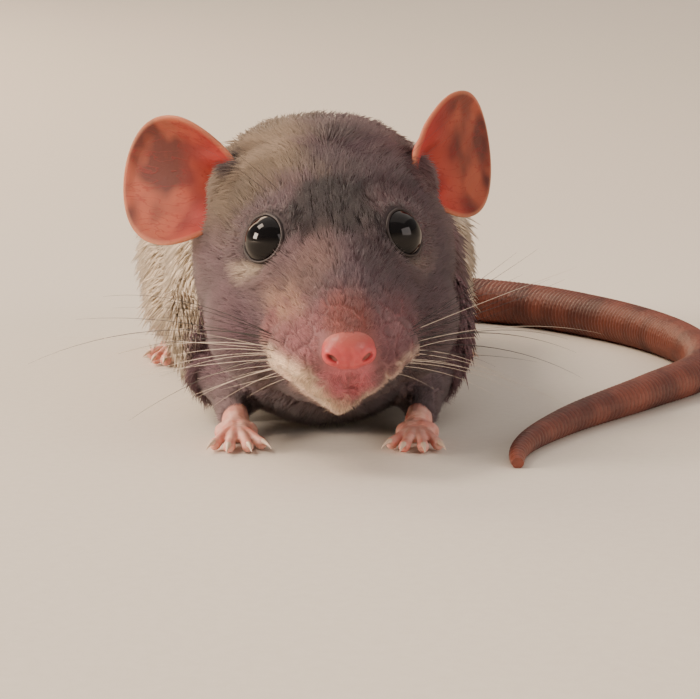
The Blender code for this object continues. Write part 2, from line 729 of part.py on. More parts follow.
# Whiskers, in rows down each pad and columns back along it. The first root is the top front one,
# and the upper front whiskers are the shorter and higher ones.
WHISKER_ROWS, WHISKER_COLUMNS = 3, 3
WHISKER_FIRST = Vector((7.0, 6.2, -1.5))
WHISKER_DOWN, WHISKER_REAR = Vector((0.0, 0.0, -2.6)), Vector((0.4, 3.0, 0.0))
WHISKER_LONG, WHISKER_SHORT = 31.0, 13.0
WHISKER_ROOT = 1.4
WHISKER_DROOP = 0.55
WHISKER_POINTS = 4
WHISKER_THINNING = 0.72
WHISKER_SPREAD = 0.10


def whisker(side, row, column, rng):
    down = row / (WHISKER_ROWS - 1)
    rear = column / (WHISKER_COLUMNS - 1)
    root = WHISKER_FIRST + WHISKER_DOWN * down + WHISKER_REAR * rear
    length = WHISKER_SHORT + (WHISKER_LONG - WHISKER_SHORT) * rear**0.8
    length *= 1.0 - 0.18 * abs(down - 0.4) + WHISKER_SPREAD * (rng.random() - 0.5)
    rise = 0.42 - 0.72 * down + WHISKER_SPREAD * (rng.random() - 0.5)
    way = Vector((1.0, 0.34 + 0.42 * rear, rise)).normalized()
    droop = Vector((0.05, 0.34, -0.28 - 0.12 * down)) * length * WHISKER_DROOP
    path, radii = [], []
    for i in range(WHISKER_POINTS + 1):
        t = i / WHISKER_POINTS
        place = root + way * (length * t - WHISKER_ROOT * (1 - t)) + droop * t * t
        path.append(on_head(place.x * side, place.y, place.z))
        radii.append(WHISKER_RADIUS * (1 - WHISKER_THINNING * t))
    return tube("whisker", path, radii, sides=3, rounded=(False, False))


def whiskered(pad, side):
    rng = np.random.default_rng(12 + side)
    places = [(row, column) for row in range(WHISKER_ROWS) for column in range(WHISKER_COLUMNS)]
    return fused(pad.name, [pad] + [whisker(side, row, column, rng) for row, column in places])


def sided(side):
    return "left" if side > 0 else "right"


def head_nodes(skin):
    """The head with its jaw, pads, ears, eyes and nose parted off or set in it."""
    head = simplified(skin, HEAD_SHARE)
    head.name = "head"
    front = in_front_of_neck(0.0)
    boolean(head, front, "INTERSECT")
    remove(front)
    for side in (-1, 1):
        cut_by(head, foreleg_region(side)(GAP))
    nodes = {"lower_jaw": parted(head, "lower_jaw", jaw_region), "nose": nose()}
    cut_by(head, nose_form("nose_room", GAP))
    for side in (-1, 1):
        pad = parted(head, f"whisker_pad_{sided(side)}", pad_region(side))
        nodes[pad.name] = whiskered(pad, side)
    for side in (-1, 1):
        ear = ear_mesh(f"ear_{sided(side)}")
        nodes[ear.name] = cut_by(ear, grown(head))
    head = fused("head", [head] + [lid_ring(side) for side in (-1, 1)])
    for side in (-1, 1):
        cut_by(head, eye_ball("eye_room", side, GAP))
        eye = eye_ball(f"eye_{sided(side)}", side)
        nodes[eye.name] = eye
    nodes["head"] = head
    return nodes


def body_nodes(skin):
    """Neck, torso and legs, with the hands, feet and tail set in them."""
    torso = simplified(softened(skin, BODY_ROUNDS), BODY_SHARE)
    torso.name = "torso"
    cut_by(torso, tail_root(GAP))
    nodes = {}
    for side in (-1, 1):
        for kind, region in (("foreleg", foreleg_region), ("hindleg", hindleg_region)):
            name = f"{kind}_{sided(side)}"
            nodes[name] = parted(torso, name, region(side))
        cut_by(nodes[f"foreleg_{sided(side)}"], wrist(side, GAP))
        for leg in (torso, nodes[f"hindleg_{sided(side)}"]):
            cut_by(leg, hindfoot("foot_room", side, GAP))
        for paw in (forepaw(f"forepaw_{sided(side)}", side), hindfoot(f"hindfoot_{sided(side)}", side)):
            nodes[paw.name] = cut_at_floor(paw)
    cut_by(torso, in_front_of_neck(GAP))
    nodes["neck"] = parted(torso, "neck", in_front_of_torso)
    nodes["torso"] = torso
    for name in ("torso", "neck", "foreleg_left", "foreleg_right", "hindleg_left", "hindleg_right"):
        cut_at_floor(nodes[name])
    nodes.update({piece.name: piece for piece in tail()})
    return nodes


FINISHES = (
    (("head", "lower_jaw", "neck", "foreleg", "whisker_pad"), "coat_grey", COAT_GREY, 0.8),
    (("torso", "hindleg"), "coat_white", COAT_WHITE, 0.85),
    (("forepaw", "hindfoot"), "skin_pink", SKIN_PINK, 0.5),
    (("ear",), "ear_red", EAR_RED, 0.5),
    (("nose",), "nose_red", NOSE_RED, 0.35),
    (("eye",), "eye_black", EYE_BLACK, 0.06),
    (("tail",), "tail_brown", TAIL_BROWN, 0.55),
)


def finish(nodes):
    for kinds, name, colour, roughness in FINISHES:
        look = material(name, colour, roughness)
        for node_name, node in nodes.items():
            if node_name.startswith(kinds):
                node.data.materials.clear()
                node.data.materials.append(look)
                node.data.shade_smooth()
                node.data.set_sharp_from_angle(angle=math.radians(50))


def moved_to_origin(nodes):
    """Sets the middle of the whole model's base at the origin, and gives the shift in metres."""
    corners = np.array([list(v.co) for node in nodes for v in node.data.vertices])
    low, high = corners.min(axis=0), corners.max(axis=0)
    shift = Vector((-(low[0] + high[0]) / 2, -(low[1] + high[1]) / 2, -low[2]))
    for node in nodes:
        node.data.transform(Matrix.Translation(shift))
    return shift


def main():
    clear_scene()
    skin = whole_skin()
    nodes = head_nodes(duplicate(skin, "head"))
    nodes.update(body_nodes(skin))
    finish(nodes)
    return moved_to_origin(list(nodes.values()))


if __name__ == "__main__":
    main()
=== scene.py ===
# A young hooded pet rat, life size: skin, coat, eyes, ears, nose, whiskers, paws and tail over the
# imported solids. Numbers in the tables are millimetres, in a frame whose nose tip is at x = 0, y = 0.
import json
import math

import bmesh
import bpy
import numpy as np
from mathutils import Matrix, Vector
from mathutils.bvhtree import BVHTree

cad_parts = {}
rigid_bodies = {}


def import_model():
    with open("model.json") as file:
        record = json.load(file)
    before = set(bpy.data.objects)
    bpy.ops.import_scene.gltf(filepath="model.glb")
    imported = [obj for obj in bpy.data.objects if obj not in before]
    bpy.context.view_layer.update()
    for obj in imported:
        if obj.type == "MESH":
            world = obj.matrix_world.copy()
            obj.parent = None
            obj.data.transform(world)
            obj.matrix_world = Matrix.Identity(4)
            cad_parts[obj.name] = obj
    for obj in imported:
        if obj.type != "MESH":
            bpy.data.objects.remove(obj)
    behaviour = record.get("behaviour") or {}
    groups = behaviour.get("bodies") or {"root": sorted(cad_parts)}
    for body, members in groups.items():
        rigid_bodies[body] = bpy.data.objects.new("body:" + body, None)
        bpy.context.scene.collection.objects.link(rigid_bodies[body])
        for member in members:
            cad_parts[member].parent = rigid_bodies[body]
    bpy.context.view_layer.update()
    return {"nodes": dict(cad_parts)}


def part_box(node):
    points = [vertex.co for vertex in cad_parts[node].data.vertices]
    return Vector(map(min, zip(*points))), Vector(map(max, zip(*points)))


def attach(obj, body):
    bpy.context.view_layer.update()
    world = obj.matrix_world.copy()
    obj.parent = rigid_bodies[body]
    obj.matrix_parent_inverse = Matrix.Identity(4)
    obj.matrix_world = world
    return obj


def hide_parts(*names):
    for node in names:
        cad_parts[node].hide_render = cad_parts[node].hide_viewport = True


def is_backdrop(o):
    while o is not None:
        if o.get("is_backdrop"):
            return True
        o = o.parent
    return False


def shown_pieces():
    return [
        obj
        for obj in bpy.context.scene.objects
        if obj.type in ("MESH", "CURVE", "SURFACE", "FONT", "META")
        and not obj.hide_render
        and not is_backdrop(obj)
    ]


for old in list(bpy.data.objects):
    bpy.data.objects.remove(old, do_unlink=True)
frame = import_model()
mm = 0.001
floorGap = 0.00002  # in metres, between the ground level and the floor or the lowest skin

# The head's pose, and where the eyes sit in the head's own frame: across, back and up from the nose.
headPose = {"noseHeight": 13.6, "pitch": 10.0, "yaw": 5.4, "roll": 2.0}
eyeFacts = {"centre": (6.6, 18.4, 6.7), "look": (0.68, -0.60, 0.42), "radius": 3.1, "opening": 60.0}


def headDirections():
    pitch, yaw, roll = (math.radians(headPose[key]) for key in ("pitch", "yaw", "roll"))
    back = Vector((-math.sin(yaw) * math.cos(pitch), math.cos(yaw) * math.cos(pitch), math.sin(pitch)))
    up = Vector((math.sin(yaw) * math.sin(pitch), -math.cos(yaw) * math.sin(pitch), math.cos(pitch)))
    up = Matrix.Rotation(-roll, 3, back) @ up
    return np.array([back.cross(up), back, up])


headAxes = headDirections()
noseTip = np.array([0.0, 0.0, headPose["noseHeight"]])
eyeBox = np.array([list(corner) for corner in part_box("eye_left")])
shift = eyeBox.mean(axis=0) / mm - noseTip - np.array(eyeFacts["centre"]) @ headAxes


def atHead(across, back, up):
    return noseTip + np.array([across, back, up], float) @ headAxes


def toMetres(points):
    return (np.asarray(points, float) + shift) * mm


def toDesign(points):
    return np.asarray(points, float) / mm - shift


def toHead(design):
    return (design - noseTip) @ headAxes.T


def smooth(value, low, high):  # 0 at low, 1 at high, either way round
    t = np.clip((np.asarray(value, float) - low) / (high - low), 0, 1)
    return t * t * (3 - 2 * t)


def unit(vectors):
    return vectors / np.maximum(np.linalg.norm(vectors, axis=-1, keepdims=True), 1e-9)


def ripple(points, size, seed):  # soft waves of about this size in mm, from -1 to 1
    draw = np.random.default_rng(seed)
    total = 0.0
    for _ in range(7):
        way = draw.normal(size=3)
        way *= 2 * math.pi * draw.uniform(0.7, 1.5) / (size * np.linalg.norm(way))
        total = total + np.sin(points @ way + draw.uniform(0, 6.3))
    return np.clip(total / 3.2, -1, 1)


def newObject(name, points, faces):  # points in metres
    mesh = bpy.data.meshes.new(name)
    mesh.from_pydata([tuple(p) for p in points], [], [tuple(f) for f in faces])
    made = bpy.data.objects.new(name, mesh)
    bpy.context.scene.collection.objects.link(made)
    return made


def outward(obj):
    shape = bmesh.new()
    shape.from_mesh(obj.data)
    bmesh.ops.remove_doubles(shape, verts=shape.verts, dist=1e-7)
    bmesh.ops.recalc_face_normals(shape, faces=shape.faces)
    shape.to_mesh(obj.data)
    shape.free()
    return obj


def applied(obj):  # the modifiers' result as a plain mesh
    bpy.context.view_layer.update()
    graph = bpy.context.evaluated_depsgraph_get()
    mesh = bpy.data.meshes.new_from_object(obj.evaluated_get(graph))
    obj.modifiers.clear()
    obj.data = mesh
    return obj


def pointsOf(mesh):
    values = np.empty(len(mesh.vertices) * 3)
    mesh.vertices.foreach_get("co", values)
    return values.reshape(-1, 3)


def normalsOf(mesh):
    values = np.empty(len(mesh.vertices) * 3, np.float32)
    mesh.vertex_normals.foreach_get("vector", values)
    return values.reshape(-1, 3).astype(float)


def movePoints(mesh, points):
    mesh.vertices.foreach_set("co", np.asarray(points, float).ravel())
    mesh.update()


def liftAboveFloor(mesh):
    points = pointsOf(mesh)
    points[:, 2] = np.maximum(points[:, 2], floorGap)
    movePoints(mesh, points)


def joined(name, meshes):
    shape = bmesh.new()
    for mesh in meshes:
        shape.from_mesh(mesh)
    made = newObject(name, [], [])
    shape.to_mesh(made.data)
    shape.free()
    return made


def store(mesh, name, kind, values, domain="POINT"):
    layer = mesh.attributes.get(name) or mesh.attributes.new(name, kind, domain)
    key = {"FLOAT": "value", "INT": "value", "FLOAT_VECTOR": "vector", "FLOAT_COLOR": "color"}[kind]
    layer.data.foreach_set(key, np.ascontiguousarray(values).ravel())


def largestOnly(mesh):  # drops the closed surfaces that joining leaves inside
    shape = bmesh.new()
    shape.from_mesh(mesh)
    left, groups = set(shape.verts), []
    while left:
        todo, group = [left.pop()], []
        while todo:
            point = todo.pop()
            group.append(point)
            fresh = [e.other_vert(point) for e in point.link_edges if e.other_vert(point) in left]
            left.difference_update(fresh)
            todo += fresh
        groups.append(group)
    groups.sort(key=len, reverse=True)
    bmesh.ops.delete(shape, geom=[v for group in groups[1:] for v in group], context="VERTS")
    shape.to_mesh(mesh)
    shape.free()


def voxelSkin(obj, voxel, rounds):
    remesh = obj.modifiers.new("remesh", "REMESH")
    remesh.mode, remesh.voxel_size = "VOXEL", voxel * mm
    soften = obj.modifiers.new("soften", "SMOOTH")
    soften.factor, soften.iterations = 0.5, rounds
    return applied(obj)


def linear(hexColour):
    parts = [int(hexColour[i : i + 2], 16) / 255 for i in (1, 3, 5)]
    return [c / 12.92 if c <= 0.04045 else ((c + 0.055) / 1.055) ** 2.4 for c in parts]


def rgba(hexColour):
    return (*linear(hexColour), 1.0)


def addNode(tree, kind, links=None, **settings):
    node = tree.nodes.new(kind)
    for key, value in settings.items():
        setattr(node, key, value)
    for key, source in (links or {}).items():
        if isinstance(source, bpy.types.NodeSocket):
            tree.links.new(source, node.inputs[key])
        else:
            node.inputs[key].default_value = source
    return node


def attribute(tree, name, output="Fac"):
    return addNode(tree, "ShaderNodeAttribute", attribute_name=name).outputs[output]


def objectSpace(tree):
    return addNode(tree, "ShaderNodeTexCoord").outputs["Object"]


def noiseOf(tree, space, scale, detail=2.0, **more):
    links = {"Vector": space, "Scale": scale, "Detail": detail, **more}
    return addNode(tree, "ShaderNodeTexNoise", links).outputs["Fac"]


def mapped(tree, value, low, high, least=0.0, most=1.0):
    links = {"Value": value, 1: low, 2: high, 3: least, 4: most}
    return addNode(tree, "ShaderNodeMapRange", links).outputs[0]


def mathNode(tree, operation, *values):
    return addNode(tree, "ShaderNodeMath", dict(enumerate(values)), operation=operation).outputs[0]


def scaledBy(tree, vector, share):
    return addNode(tree, "ShaderNodeVectorMath", {0: vector, 3: share}, operation="SCALE").outputs[0]


def mixed(tree, share, first, second):  # each colour is a hex text or a socket
    first, second = (rgba(c) if isinstance(c, str) else c for c in (first, second))
    return addNode(tree, "ShaderNodeMix", {0: share, 6: first, 7: second}, data_type="RGBA").outputs[2]


def plainMaterial(name, colour, roughness, **inputs):
    made = bpy.data.materials.new(name)
    made.use_nodes = True
    shader = made.node_tree.nodes["Principled BSDF"]
    if colour:
        shader.inputs["Base Color"].default_value = rgba(colour)
    shader.inputs["Roughness"].default_value = roughness
    for key, value in inputs.items():
        shader.inputs[key.replace("_", " ")].default_value = value
    return made


def paintShader(material, colour, height=None, strength=0.0, distance=0.0):
    tree = material.node_tree
    shader = tree.nodes["Principled BSDF"]
    tree.links.new(colour, shader.inputs["Base Color"])
    if height is not None:
        links = {"Height": height, "Strength": strength, "Distance": distance}
        tree.links.new(addNode(tree, "ShaderNodeBump", links).outputs[0], shader.inputs["Normal"])
    return material


def newTree(name, output, sockets):  # a node tree with named inputs, and its input node's outputs
    tree = bpy.data.node_groups.new(name, "GeometryNodeTree")
    for label, kind, value in sockets:
        socket = tree.interface.new_socket(label, in_out="INPUT", socket_type="NodeSocket" + kind)
        if value is not None:
            socket.default_value = value
    tree.interface.new_socket(output, in_out="OUTPUT", socket_type="NodeSocketGeometry")
    return tree, addNode(tree, "NodeGroupInput").outputs


def keep(tree, geometry, name, kind, value, domain="POINT"):  # stores a named attribute
    links = {"Geometry": geometry, "Name": name, "Value": value}
    return addNode(tree, "GeometryNodeStoreNamedAttribute", links, data_type=kind, domain=domain).outputs[0]


def closeTree(tree, given, geometry, output):  # smooth shading and the material, then out
    geometry = addNode(tree, "GeometryNodeSetShadeSmooth", {"Geometry": geometry}).outputs[0]
    links = {"Geometry": geometry, "Material": given["Material"]}
    addNode(tree, "NodeGroupOutput", {output: addNode(tree, "GeometryNodeSetMaterial", links).outputs[0]})


def sweepOut(tree, given, lines, radius, output):  # a round body of this radius along the lines
    links = {"Resolution": given["Sides"], "Radius": 1.0}
    ring = addNode(tree, "GeometryNodeCurvePrimitiveCircle", links).outputs[0]
    links = {"Curve": lines, "Profile Curve": ring, "Scale": radius, "Fill Caps": True}
    swept = addNode(tree, "GeometryNodeCurveToMesh", links).outputs[0]
    swept = addNode(tree, "GeometryNodeRealizeInstances", {"Geometry": swept}).outputs[0]
    closeTree(tree, given, swept, output)


def treeResult(host, tree, inputs):  # the mesh that the tree makes of this object
    step = host.modifiers.new("tree", "NODES")
    step.node_group = tree
    for socket in tree.interface.items_tree:
        if socket.in_out == "INPUT" and socket.name in inputs:
            step[socket.identifier] = inputs[socket.name]
    bpy.context.view_layer.update()
    return bpy.data.meshes.new_from_object(host.evaluated_get(bpy.context.evaluated_depsgraph_get()))


# Camera and light. The camera stands low in front, 165 mm from the nose.
cameraFacts = {"distance": 165.0, "elevation": 8.0, "angle": 24.0}
lights = {
    # name: direction from the head, distance in m, size in m, watts, colour
    "windowLeft": ((-0.95, -0.24, 0.36), 1.10, 0.34, 14.0, "#ffe8d4"),
    "lampAbove": ((-0.62, -0.02, 0.84), 1.50, 0.50, 13.0, "#ffe9d4"),
    "glowBehind": ((-0.50, 0.80, 0.55), 1.30, 0.70, 9.5, "#ffddb8"),
    "fillRight": ((0.85, -0.62, 0.26), 1.60, 1.30, 19.0, "#f8e8e2"),
    "ceilingSheet": ((0.0, 0.3, 1.0), 2.60, 4.20, 34.0, "#fff0e4"),
}
world = {"colour": "#ece2da", "strength": 0.34}


def setCamera():
    e = math.radians(cameraFacts["elevation"])
    back = Vector((0, -math.cos(e), math.sin(e)))
    data = bpy.data.cameras.new("photoView")
    data.angle = math.radians(cameraFacts["angle"])
    data.clip_start, data.clip_end = 0.01, 20
    camera = bpy.data.objects.new("photoView", data)
    camera.location = Vector(toMetres(noseTip)) + back * cameraFacts["distance"] * mm
    camera.rotation_mode = "QUATERNION"
    camera.rotation_quaternion = (-back).to_track_quat("-Z", "Y")
    bpy.context.scene.collection.objects.link(camera)
    bpy.context.scene.camera = camera


def setLights():
    middle = Vector(toMetres(atHead(0, 22, 0)))
    for name, (way, distance, size, watts, colour) in lights.items():
        data = bpy.data.lights.new(name, "AREA")
        data.size, data.energy, data.color = size, watts, linear(colour)
        lamp = bpy.data.objects.new(name, data)
        direction = Vector(way).normalized()
        lamp.location = middle + direction * distance
        lamp.rotation_mode = "QUATERNION"
        lamp.rotation_quaternion = direction.to_track_quat("Z", "Y")
        bpy.context.scene.collection.objects.link(lamp)
    room = bpy.data.worlds.new("paleRoom")
    room.use_nodes = True
    room.node_tree.nodes["Background"].inputs["Color"].default_value = rgba(world["colour"])
    room.node_tree.nodes["Background"].inputs["Strength"].default_value = world["strength"]
    bpy.context.scene.world = room


def makeFloor():
    # A wide shallow dish of pale card: flat under the rat, then a long soft bend up to a slope.
    flat, radius, slope, rim, around = 0.35, 3.2, math.radians(27), 2.2, 72
    profile = [(0.02, 0.0), (0.2, 0.0), (flat, 0.0)]
    profile += [(flat + radius * math.sin(t), radius * (1 - math.cos(t))) for t in np.linspace(0.02, slope, 24)]
    r, z = profile[-1]
    profile.append((r + rim * math.cos(slope), z + rim * math.sin(slope)))
    points = [(0.0, 0.0, -floorGap)]
    for k in range(around):
        turn = 2 * math.pi * k / around
        points += [(r * math.cos(turn), r * math.sin(turn), z - floorGap) for r, z in profile]
    n = len(profile)
    faces = [(0, 1 + k * n, 1 + (k + 1) % around * n) for k in range(around)]
    for k in range(around):
        here, there = 1 + k * n, 1 + (k + 1) % around * n
        faces += [(here + i, here + i + 1, there + i + 1, there + i) for i in range(n - 1)]
    floor = newObject("floorSheet", points, faces)
    floor.data.shade_smooth()
    card = plainMaterial("matt pale card", None, 0.9)
    tree = card.node_tree
    tone = addNode(tree, "ShaderNodeValToRGB", {"Fac": noiseOf(tree, objectSpace(tree), 900.0)})
    tone.color_ramp.elements[0].color = rgba("#d9d2c6")
    tone.color_ramp.elements[1].color = rgba("#e2dcd1")
    floor.data.materials.append(paintShader(card, tone.outputs["Color"]))
    floor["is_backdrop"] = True


setCamera()
setLights()
makeFloor()
print("stage set")


# Markings and painted light, shared by skin and coat: fur colours, with painted shade and painted highlights. Masks
# come from the place on the head and body alone.
bodyMiddle = ((0, 0.0), (24, -2.4), (48, -4.0), (84, -6.1), (116, -7.7), (140, -8.4))
coatColours = {
    "hood": "#6f565e", "crown": "#857665", "crownStreak": "#523f48", "browAndBridgeShade": "#31272a",
    "farSideShade": "#70555a", "cheek": "#745962", "throat": "#7c686c", "muzzle": "#a06a6e",
    "bridge": "#826862", "nearNose": "#98544c", "lip": "#da7a84", "cream": "#fce0c4",
    "white": "#d4c5b0", "belly": "#d3c6b2", "dorsal": "#54463f", "eyeRim": "#33272b",
    "lidPatch": "#dcc8ae", "earTuft": "#392c32", "litSideLight": "#7c676c", "padTopHighlight": "#c09a82",
    "padShade": "#5e4446",
}
# The lower edge of the muzzle, a V seen from in front: distance beside the chin, and height of the edge.
muzzleEdge = {"middle": -0.6, "beside": (0.0, 8.0, 16.0), "rise": (-7.0, -0.8, -4.6)}


def riseOf(head):  # height of a place on the head as seen from low in front
    return 0.31 * head[:, 1] + 0.95 * head[:, 2]


def edgeOf(head):
    return np.interp(np.abs(head[:, 0] - muzzleEdge["middle"]), muzzleEdge["beside"], muzzleEdge["rise"])


def middleOf(design):
    rows = np.array(bodyMiddle)
    return np.interp(design[:, 1], rows[:, 0], rows[:, 1])


def eyeAngles(head):  # from the nearer eye's centre: distance, degrees off its look, and offset
    centre, look = np.array(eyeFacts["centre"]), unit(np.array(eyeFacts["look"]))
    sides = np.where(head[:, 0] < 0, -1.0, 1.0)
    away = head * np.stack([sides, np.ones_like(sides), np.ones_like(sides)], axis=1) - centre
    reach = np.linalg.norm(away, axis=1)
    return reach, np.degrees(np.arccos(np.clip(away @ look / np.maximum(reach, 1e-6), -1, 1))), away


def markingsWithPaintedLight(design):  # linear colours at these design points
    head = toHead(design)
    l, a, u = head.T
    reach, angle, away = eyeAngles(head)
    wave, fine = ripple(design, 9.0, 3), ripple(design, 2.6, 5)
    colour = np.tile(linear(coatColours["hood"]), (len(design), 1))

    def paint(name, mask):
        nonlocal colour
        mask = np.clip(mask, 0, 1)[:, None]
        colour = colour * (1 - mask) + np.array(linear(coatColours[name])) * mask

    beside = (design[:, 0] - middleOf(design)) / 15.0
    rise, edge = riseOf(head) + 0.25 * fine, edgeOf(head)
    # painted shade: the rat's left side of the face, turned from the lamps, is painted darker
    paint("farSideShade", smooth(l + 1.5 * wave, 0.0, 6.5) * 0.85)
    # painted light: the rat's right side of the face, turned to the lamps, is painted paler
    paint("litSideLight", smooth(l + 1.2 * wave, -2.0, -5.0) * smooth(a, 8, 14)
          * smooth(a, 27, 21) * smooth(u, -2, 3) * 0.7)
    paint("crown", smooth(a + 1.2 * fine, 20, 24) * smooth(l + 1.5 * wave, 3.0, -1.5)
          * smooth(u, 3, 9) * 0.95)
    paint("crownStreak", np.exp(-(((l - 0.2 + 0.6 * wave) / 2.2) ** 2))
          * smooth(a, 21.0, 24) * smooth(a, 44, 36) * 0.85)
    # a dark patch on the forehead, darker than the hood
    patch = ((l + 0.3 + 0.4 * fine) / 5.4) ** 2 + ((a - 16.7) / 3.9) ** 2
    paint("browAndBridgeShade", smooth(patch + 0.15 * wave, 1.25, 0.70) * smooth(u, 4, 7))
    # painted shade down the rat's left side of the nose bridge
    paint("browAndBridgeShade", smooth(a, 7, 15) * smooth(a, 26, 18) * np.exp(-(((l - 3.6) / 2.8) ** 2)) * smooth(u, 2, 6) * 0.65)
    paint("cheek", smooth(u, 2.0, -4.0) * smooth(a, 11, 15) * smooth(a, 40, 33) * smooth(l, 6, -2) * 0.7)
    paint("bridge", smooth(a, 16, 11) * smooth(u, -0.5, 3.0)
          * smooth(l, 1.5, -1.5) * smooth(wave, -0.9, 0.5) * 0.75)
    pads = smooth(a + 0.8 * wave + 0.35 * np.maximum(u, 0), 13.0, 9.5) * smooth(u + 0.4 * fine, 4.2, 1.0)
    paint("muzzle", pads * np.where(l < 0, 1.0, 0.8))
    # painted highlight on the top of the rat's right whisker pad, on the side the lamps light
    top = np.exp(-(((a - 9.0) / 2.6) ** 2) - (((u - 2.0) / 1.6) ** 2)) * smooth(l, -2.8, -4.2)
    paint("padTopHighlight", top * smooth(fine, -0.9, 0.2) * 0.9)
    streak = np.array([(4.0, 9.6, 3.0), (3.0, 7.6, 1.9), (2.5, 5.8, 0.9)])
    for side, share in ((-1, 0.85), (1, 0.5)):
        paint("padShade", smooth(distanceToLine(head * (side, 1, 1), streak) + 0.25 * fine, 1.0, 0.4) * share)
    paint("throat", smooth(rise - edge, 0.15, -0.35) * smooth(a, 0.5, 2.5) * smooth(design[:, 1], 46, 38) * 0.97)
    # the pale edge of the lip and chin, broad on the rat's right and thin on its left
    wide = np.where(l < 0.2, 1.1, 0.45)
    rim = np.exp(-(((rise - edge - wide) / wide) ** 2)) * smooth(a, 0.5, 2.0) * smooth(a, 12.5, 9.5)
    paint("cream", rim * np.where(l < 0.2, 1.3, 0.6))
    paint("nearNose", smooth(a + 0.5 * wave, 7.5, 3.0) * smooth(np.abs(l - 0.3), 3.4, 1.4) * smooth(u, -3.4, -1.4) * 0.85)
    paint("lip", smooth(a, 5.8, 2.4) * smooth(np.abs(l), 3.2, 1.2)
          * smooth(u, -1.0, -2.4) * smooth(rise - edge, 0.5, 1.4))
    ring = smooth(angle, 80, 64) * smooth(reach, 4.6, 3.8)
    paint("eyeRim", ring * 0.9)
    # painted shade in the socket above and inside the rat's right eye, in the far side's shade colour
    socketShade = smooth(reach, 8.0, 6.0) * smooth(reach, 4.2, 5.6) * smooth(away[:, 2], -1.0, 2.0)
    paint("farSideShade", socketShade * smooth(l, -2.0, -5.0) * smooth(away[:, 0], 1.0, -2.5) * 0.45)
    below = np.exp(-(((away[:, 1] + 1.0) / 2.4) ** 2)) * smooth(away[:, 2], -1.6, -2.6)
    below = below * smooth(away[:, 2], -5.2, -4.0)
    paint("lidPatch", below * smooth(reach, 5.9, 4.4) * np.where(l < 0, 0.6, 0.12))
    tuft = np.stack([np.where(l < 0, -10.2, 9.2), 0 * l + 30.0, np.where(l < 0, 14.2, 15.6)], axis=1)
    tuft = np.linalg.norm((head - tuft) / (2.1, 5.0, 2.3), axis=1)
    paint("earTuft", smooth(tuft + 0.2 * fine, 1.2, 0.7) * 0.9)
    # the roots of the whiskers show as rows of small dark spots
    paint("eyeRim", spotsOf(head) * 0.75)

    # the hood ends behind the cheek on the rat's right and behind the shoulder on its left
    border = np.interp(beside, (-1.0, 0.0, 1.0), (39.0, 50.0, 61.0)) + 2.0 * wave + 1.0 * fine
    body = smooth(design[:, 1] - border, -0.8, 0.8) * smooth(a, 30, 36)
    chest = smooth(design[:, 1], 20, 24) * smooth(design[:, 2], 21, 15) * (1 - body)
    paint("throat", chest * smooth(np.abs(beside) * 15, 12, 8) * 0.75)
    paint("white", body)
    stripe = np.abs(design[:, 0] - middleOf(design)) + 1.2 * wave + 0.6 * fine
    wide = np.interp(design[:, 1], (45, 60, 90, 115, 128), (9.0, 4.6, 5.4, 4.6, 2.2))
    paint("dorsal", body * smooth(stripe - wide, 1.0, -1.0) * smooth(design[:, 2], 16, 22) * 0.92)
    paint("belly", body * smooth(design[:, 2], 5, 1) * 0.8)
    return np.clip(colour * (1 + 0.07 * fine + 0.05 * wave)[:, None], 0, 1)


def whiskerRoots():  # places in the head's frame, seen from the side, as row, column, back and up
    rows, columns = whiskerFacts["rows"], whiskerFacts["columns"]
    roots = []
    for row in range(rows):
        for column in range(columns - (row in (0, rows - 1))):
            back = whiskerFacts["first"][0] + whiskerFacts["rear"] * column + 0.3 * (row % 2)
            up = whiskerFacts["first"][1] - whiskerFacts["down"] * row - 0.10 * column
            roots.append((row, column, back, up))
    return roots


def spotsOf(head):
    near = np.full(len(head), 9.0)
    for _, _, back, up in whiskerRoots():
        near = np.minimum(near, np.hypot(head[:, 1] - back, head[:, 2] - up))
    return smooth(near, 0.42, 0.18) * smooth(np.abs(head[:, 0]), 2.0, 3.0)


# Whiskers: stiff tapering hairs in rows on each pad, with a few over the eyes and on the cheek.
whiskerFacts = {
    "rows": 5, "columns": 6, "first": (5.0, -0.6), "rear": 1.35, "down": 0.95, "short": 6.0, "long": 30.0,
    "radius": 0.062, "droop": 0.32, "points": 14,
    # over the eye and on the cheek: across, back, up, length, lift
    "others": (
        (5.2, 21.5, 11.0, 13, 0.9), (6.4, 22.6, 10.4, 10, 0.8), (11.0, 22.0, -2.0, 11, 0.1),
        (12.0, 27.0, -4.0, 9, 0.0),
    ),
}


# Hands and feet on the body's middle line, as in the solids.
handFacts = {
    "root": (11.0, 27.5, 3.5), "turn": 6.0, "wrist": ((0.0, 0.0), (2.6, 0.9), (5.4, 1.5)),
    "wristRadii": (1.9, 1.75, 1.55, 1.7), "reach": 6.4, "palmHeight": 1.45,
    # rounds of the palm: across, forward, radius
    "palm": ((-1.3, 0.2, 1.25), (-0.5, 0.6, 1.4), (0.5, 0.6, 1.4), (1.3, 0.2, 1.25), (0.0, -1.2, 1.5)),
    "spread": (-27.0, -9.0, 9.0, 27.0), "length": (3.8, 4.8, 4.8, 3.9),
    "radius": 0.78, "height": 1.4, "start": 1.8,
}
footFacts = {
    "heel": (17.6, 111.0), "ball": (20.4, 88.0), "radii": (2.5, 2.3, 2.9), "drawn": 0.82,
    "spread": (-30.0, -11.0, 0.0, 11.0, 30.0), "length": (4.8, 7.0, 7.6, 7.0, 5.2),
    "back": (3.0, 0.6, 0.0, 0.6, 2.6), "radius": 0.95, "height": 1.5, "start": 1.8,
}
clawFacts = {"length": 1.4, "radius": 0.36}


def beside(point, side):
    x, y, z = point
    middle = np.interp(y, [row[0] for row in bodyMiddle], [row[1] for row in bodyMiddle])
    return np.array([middle + x * side, y, z], float)


def handRoot(side):
    return beside(handFacts["root"], side)


def fromHands(design):  # distance to the nearer hand's root
    return np.minimum(*(np.linalg.norm(design - handRoot(side), axis=1) for side in (-1, 1)))


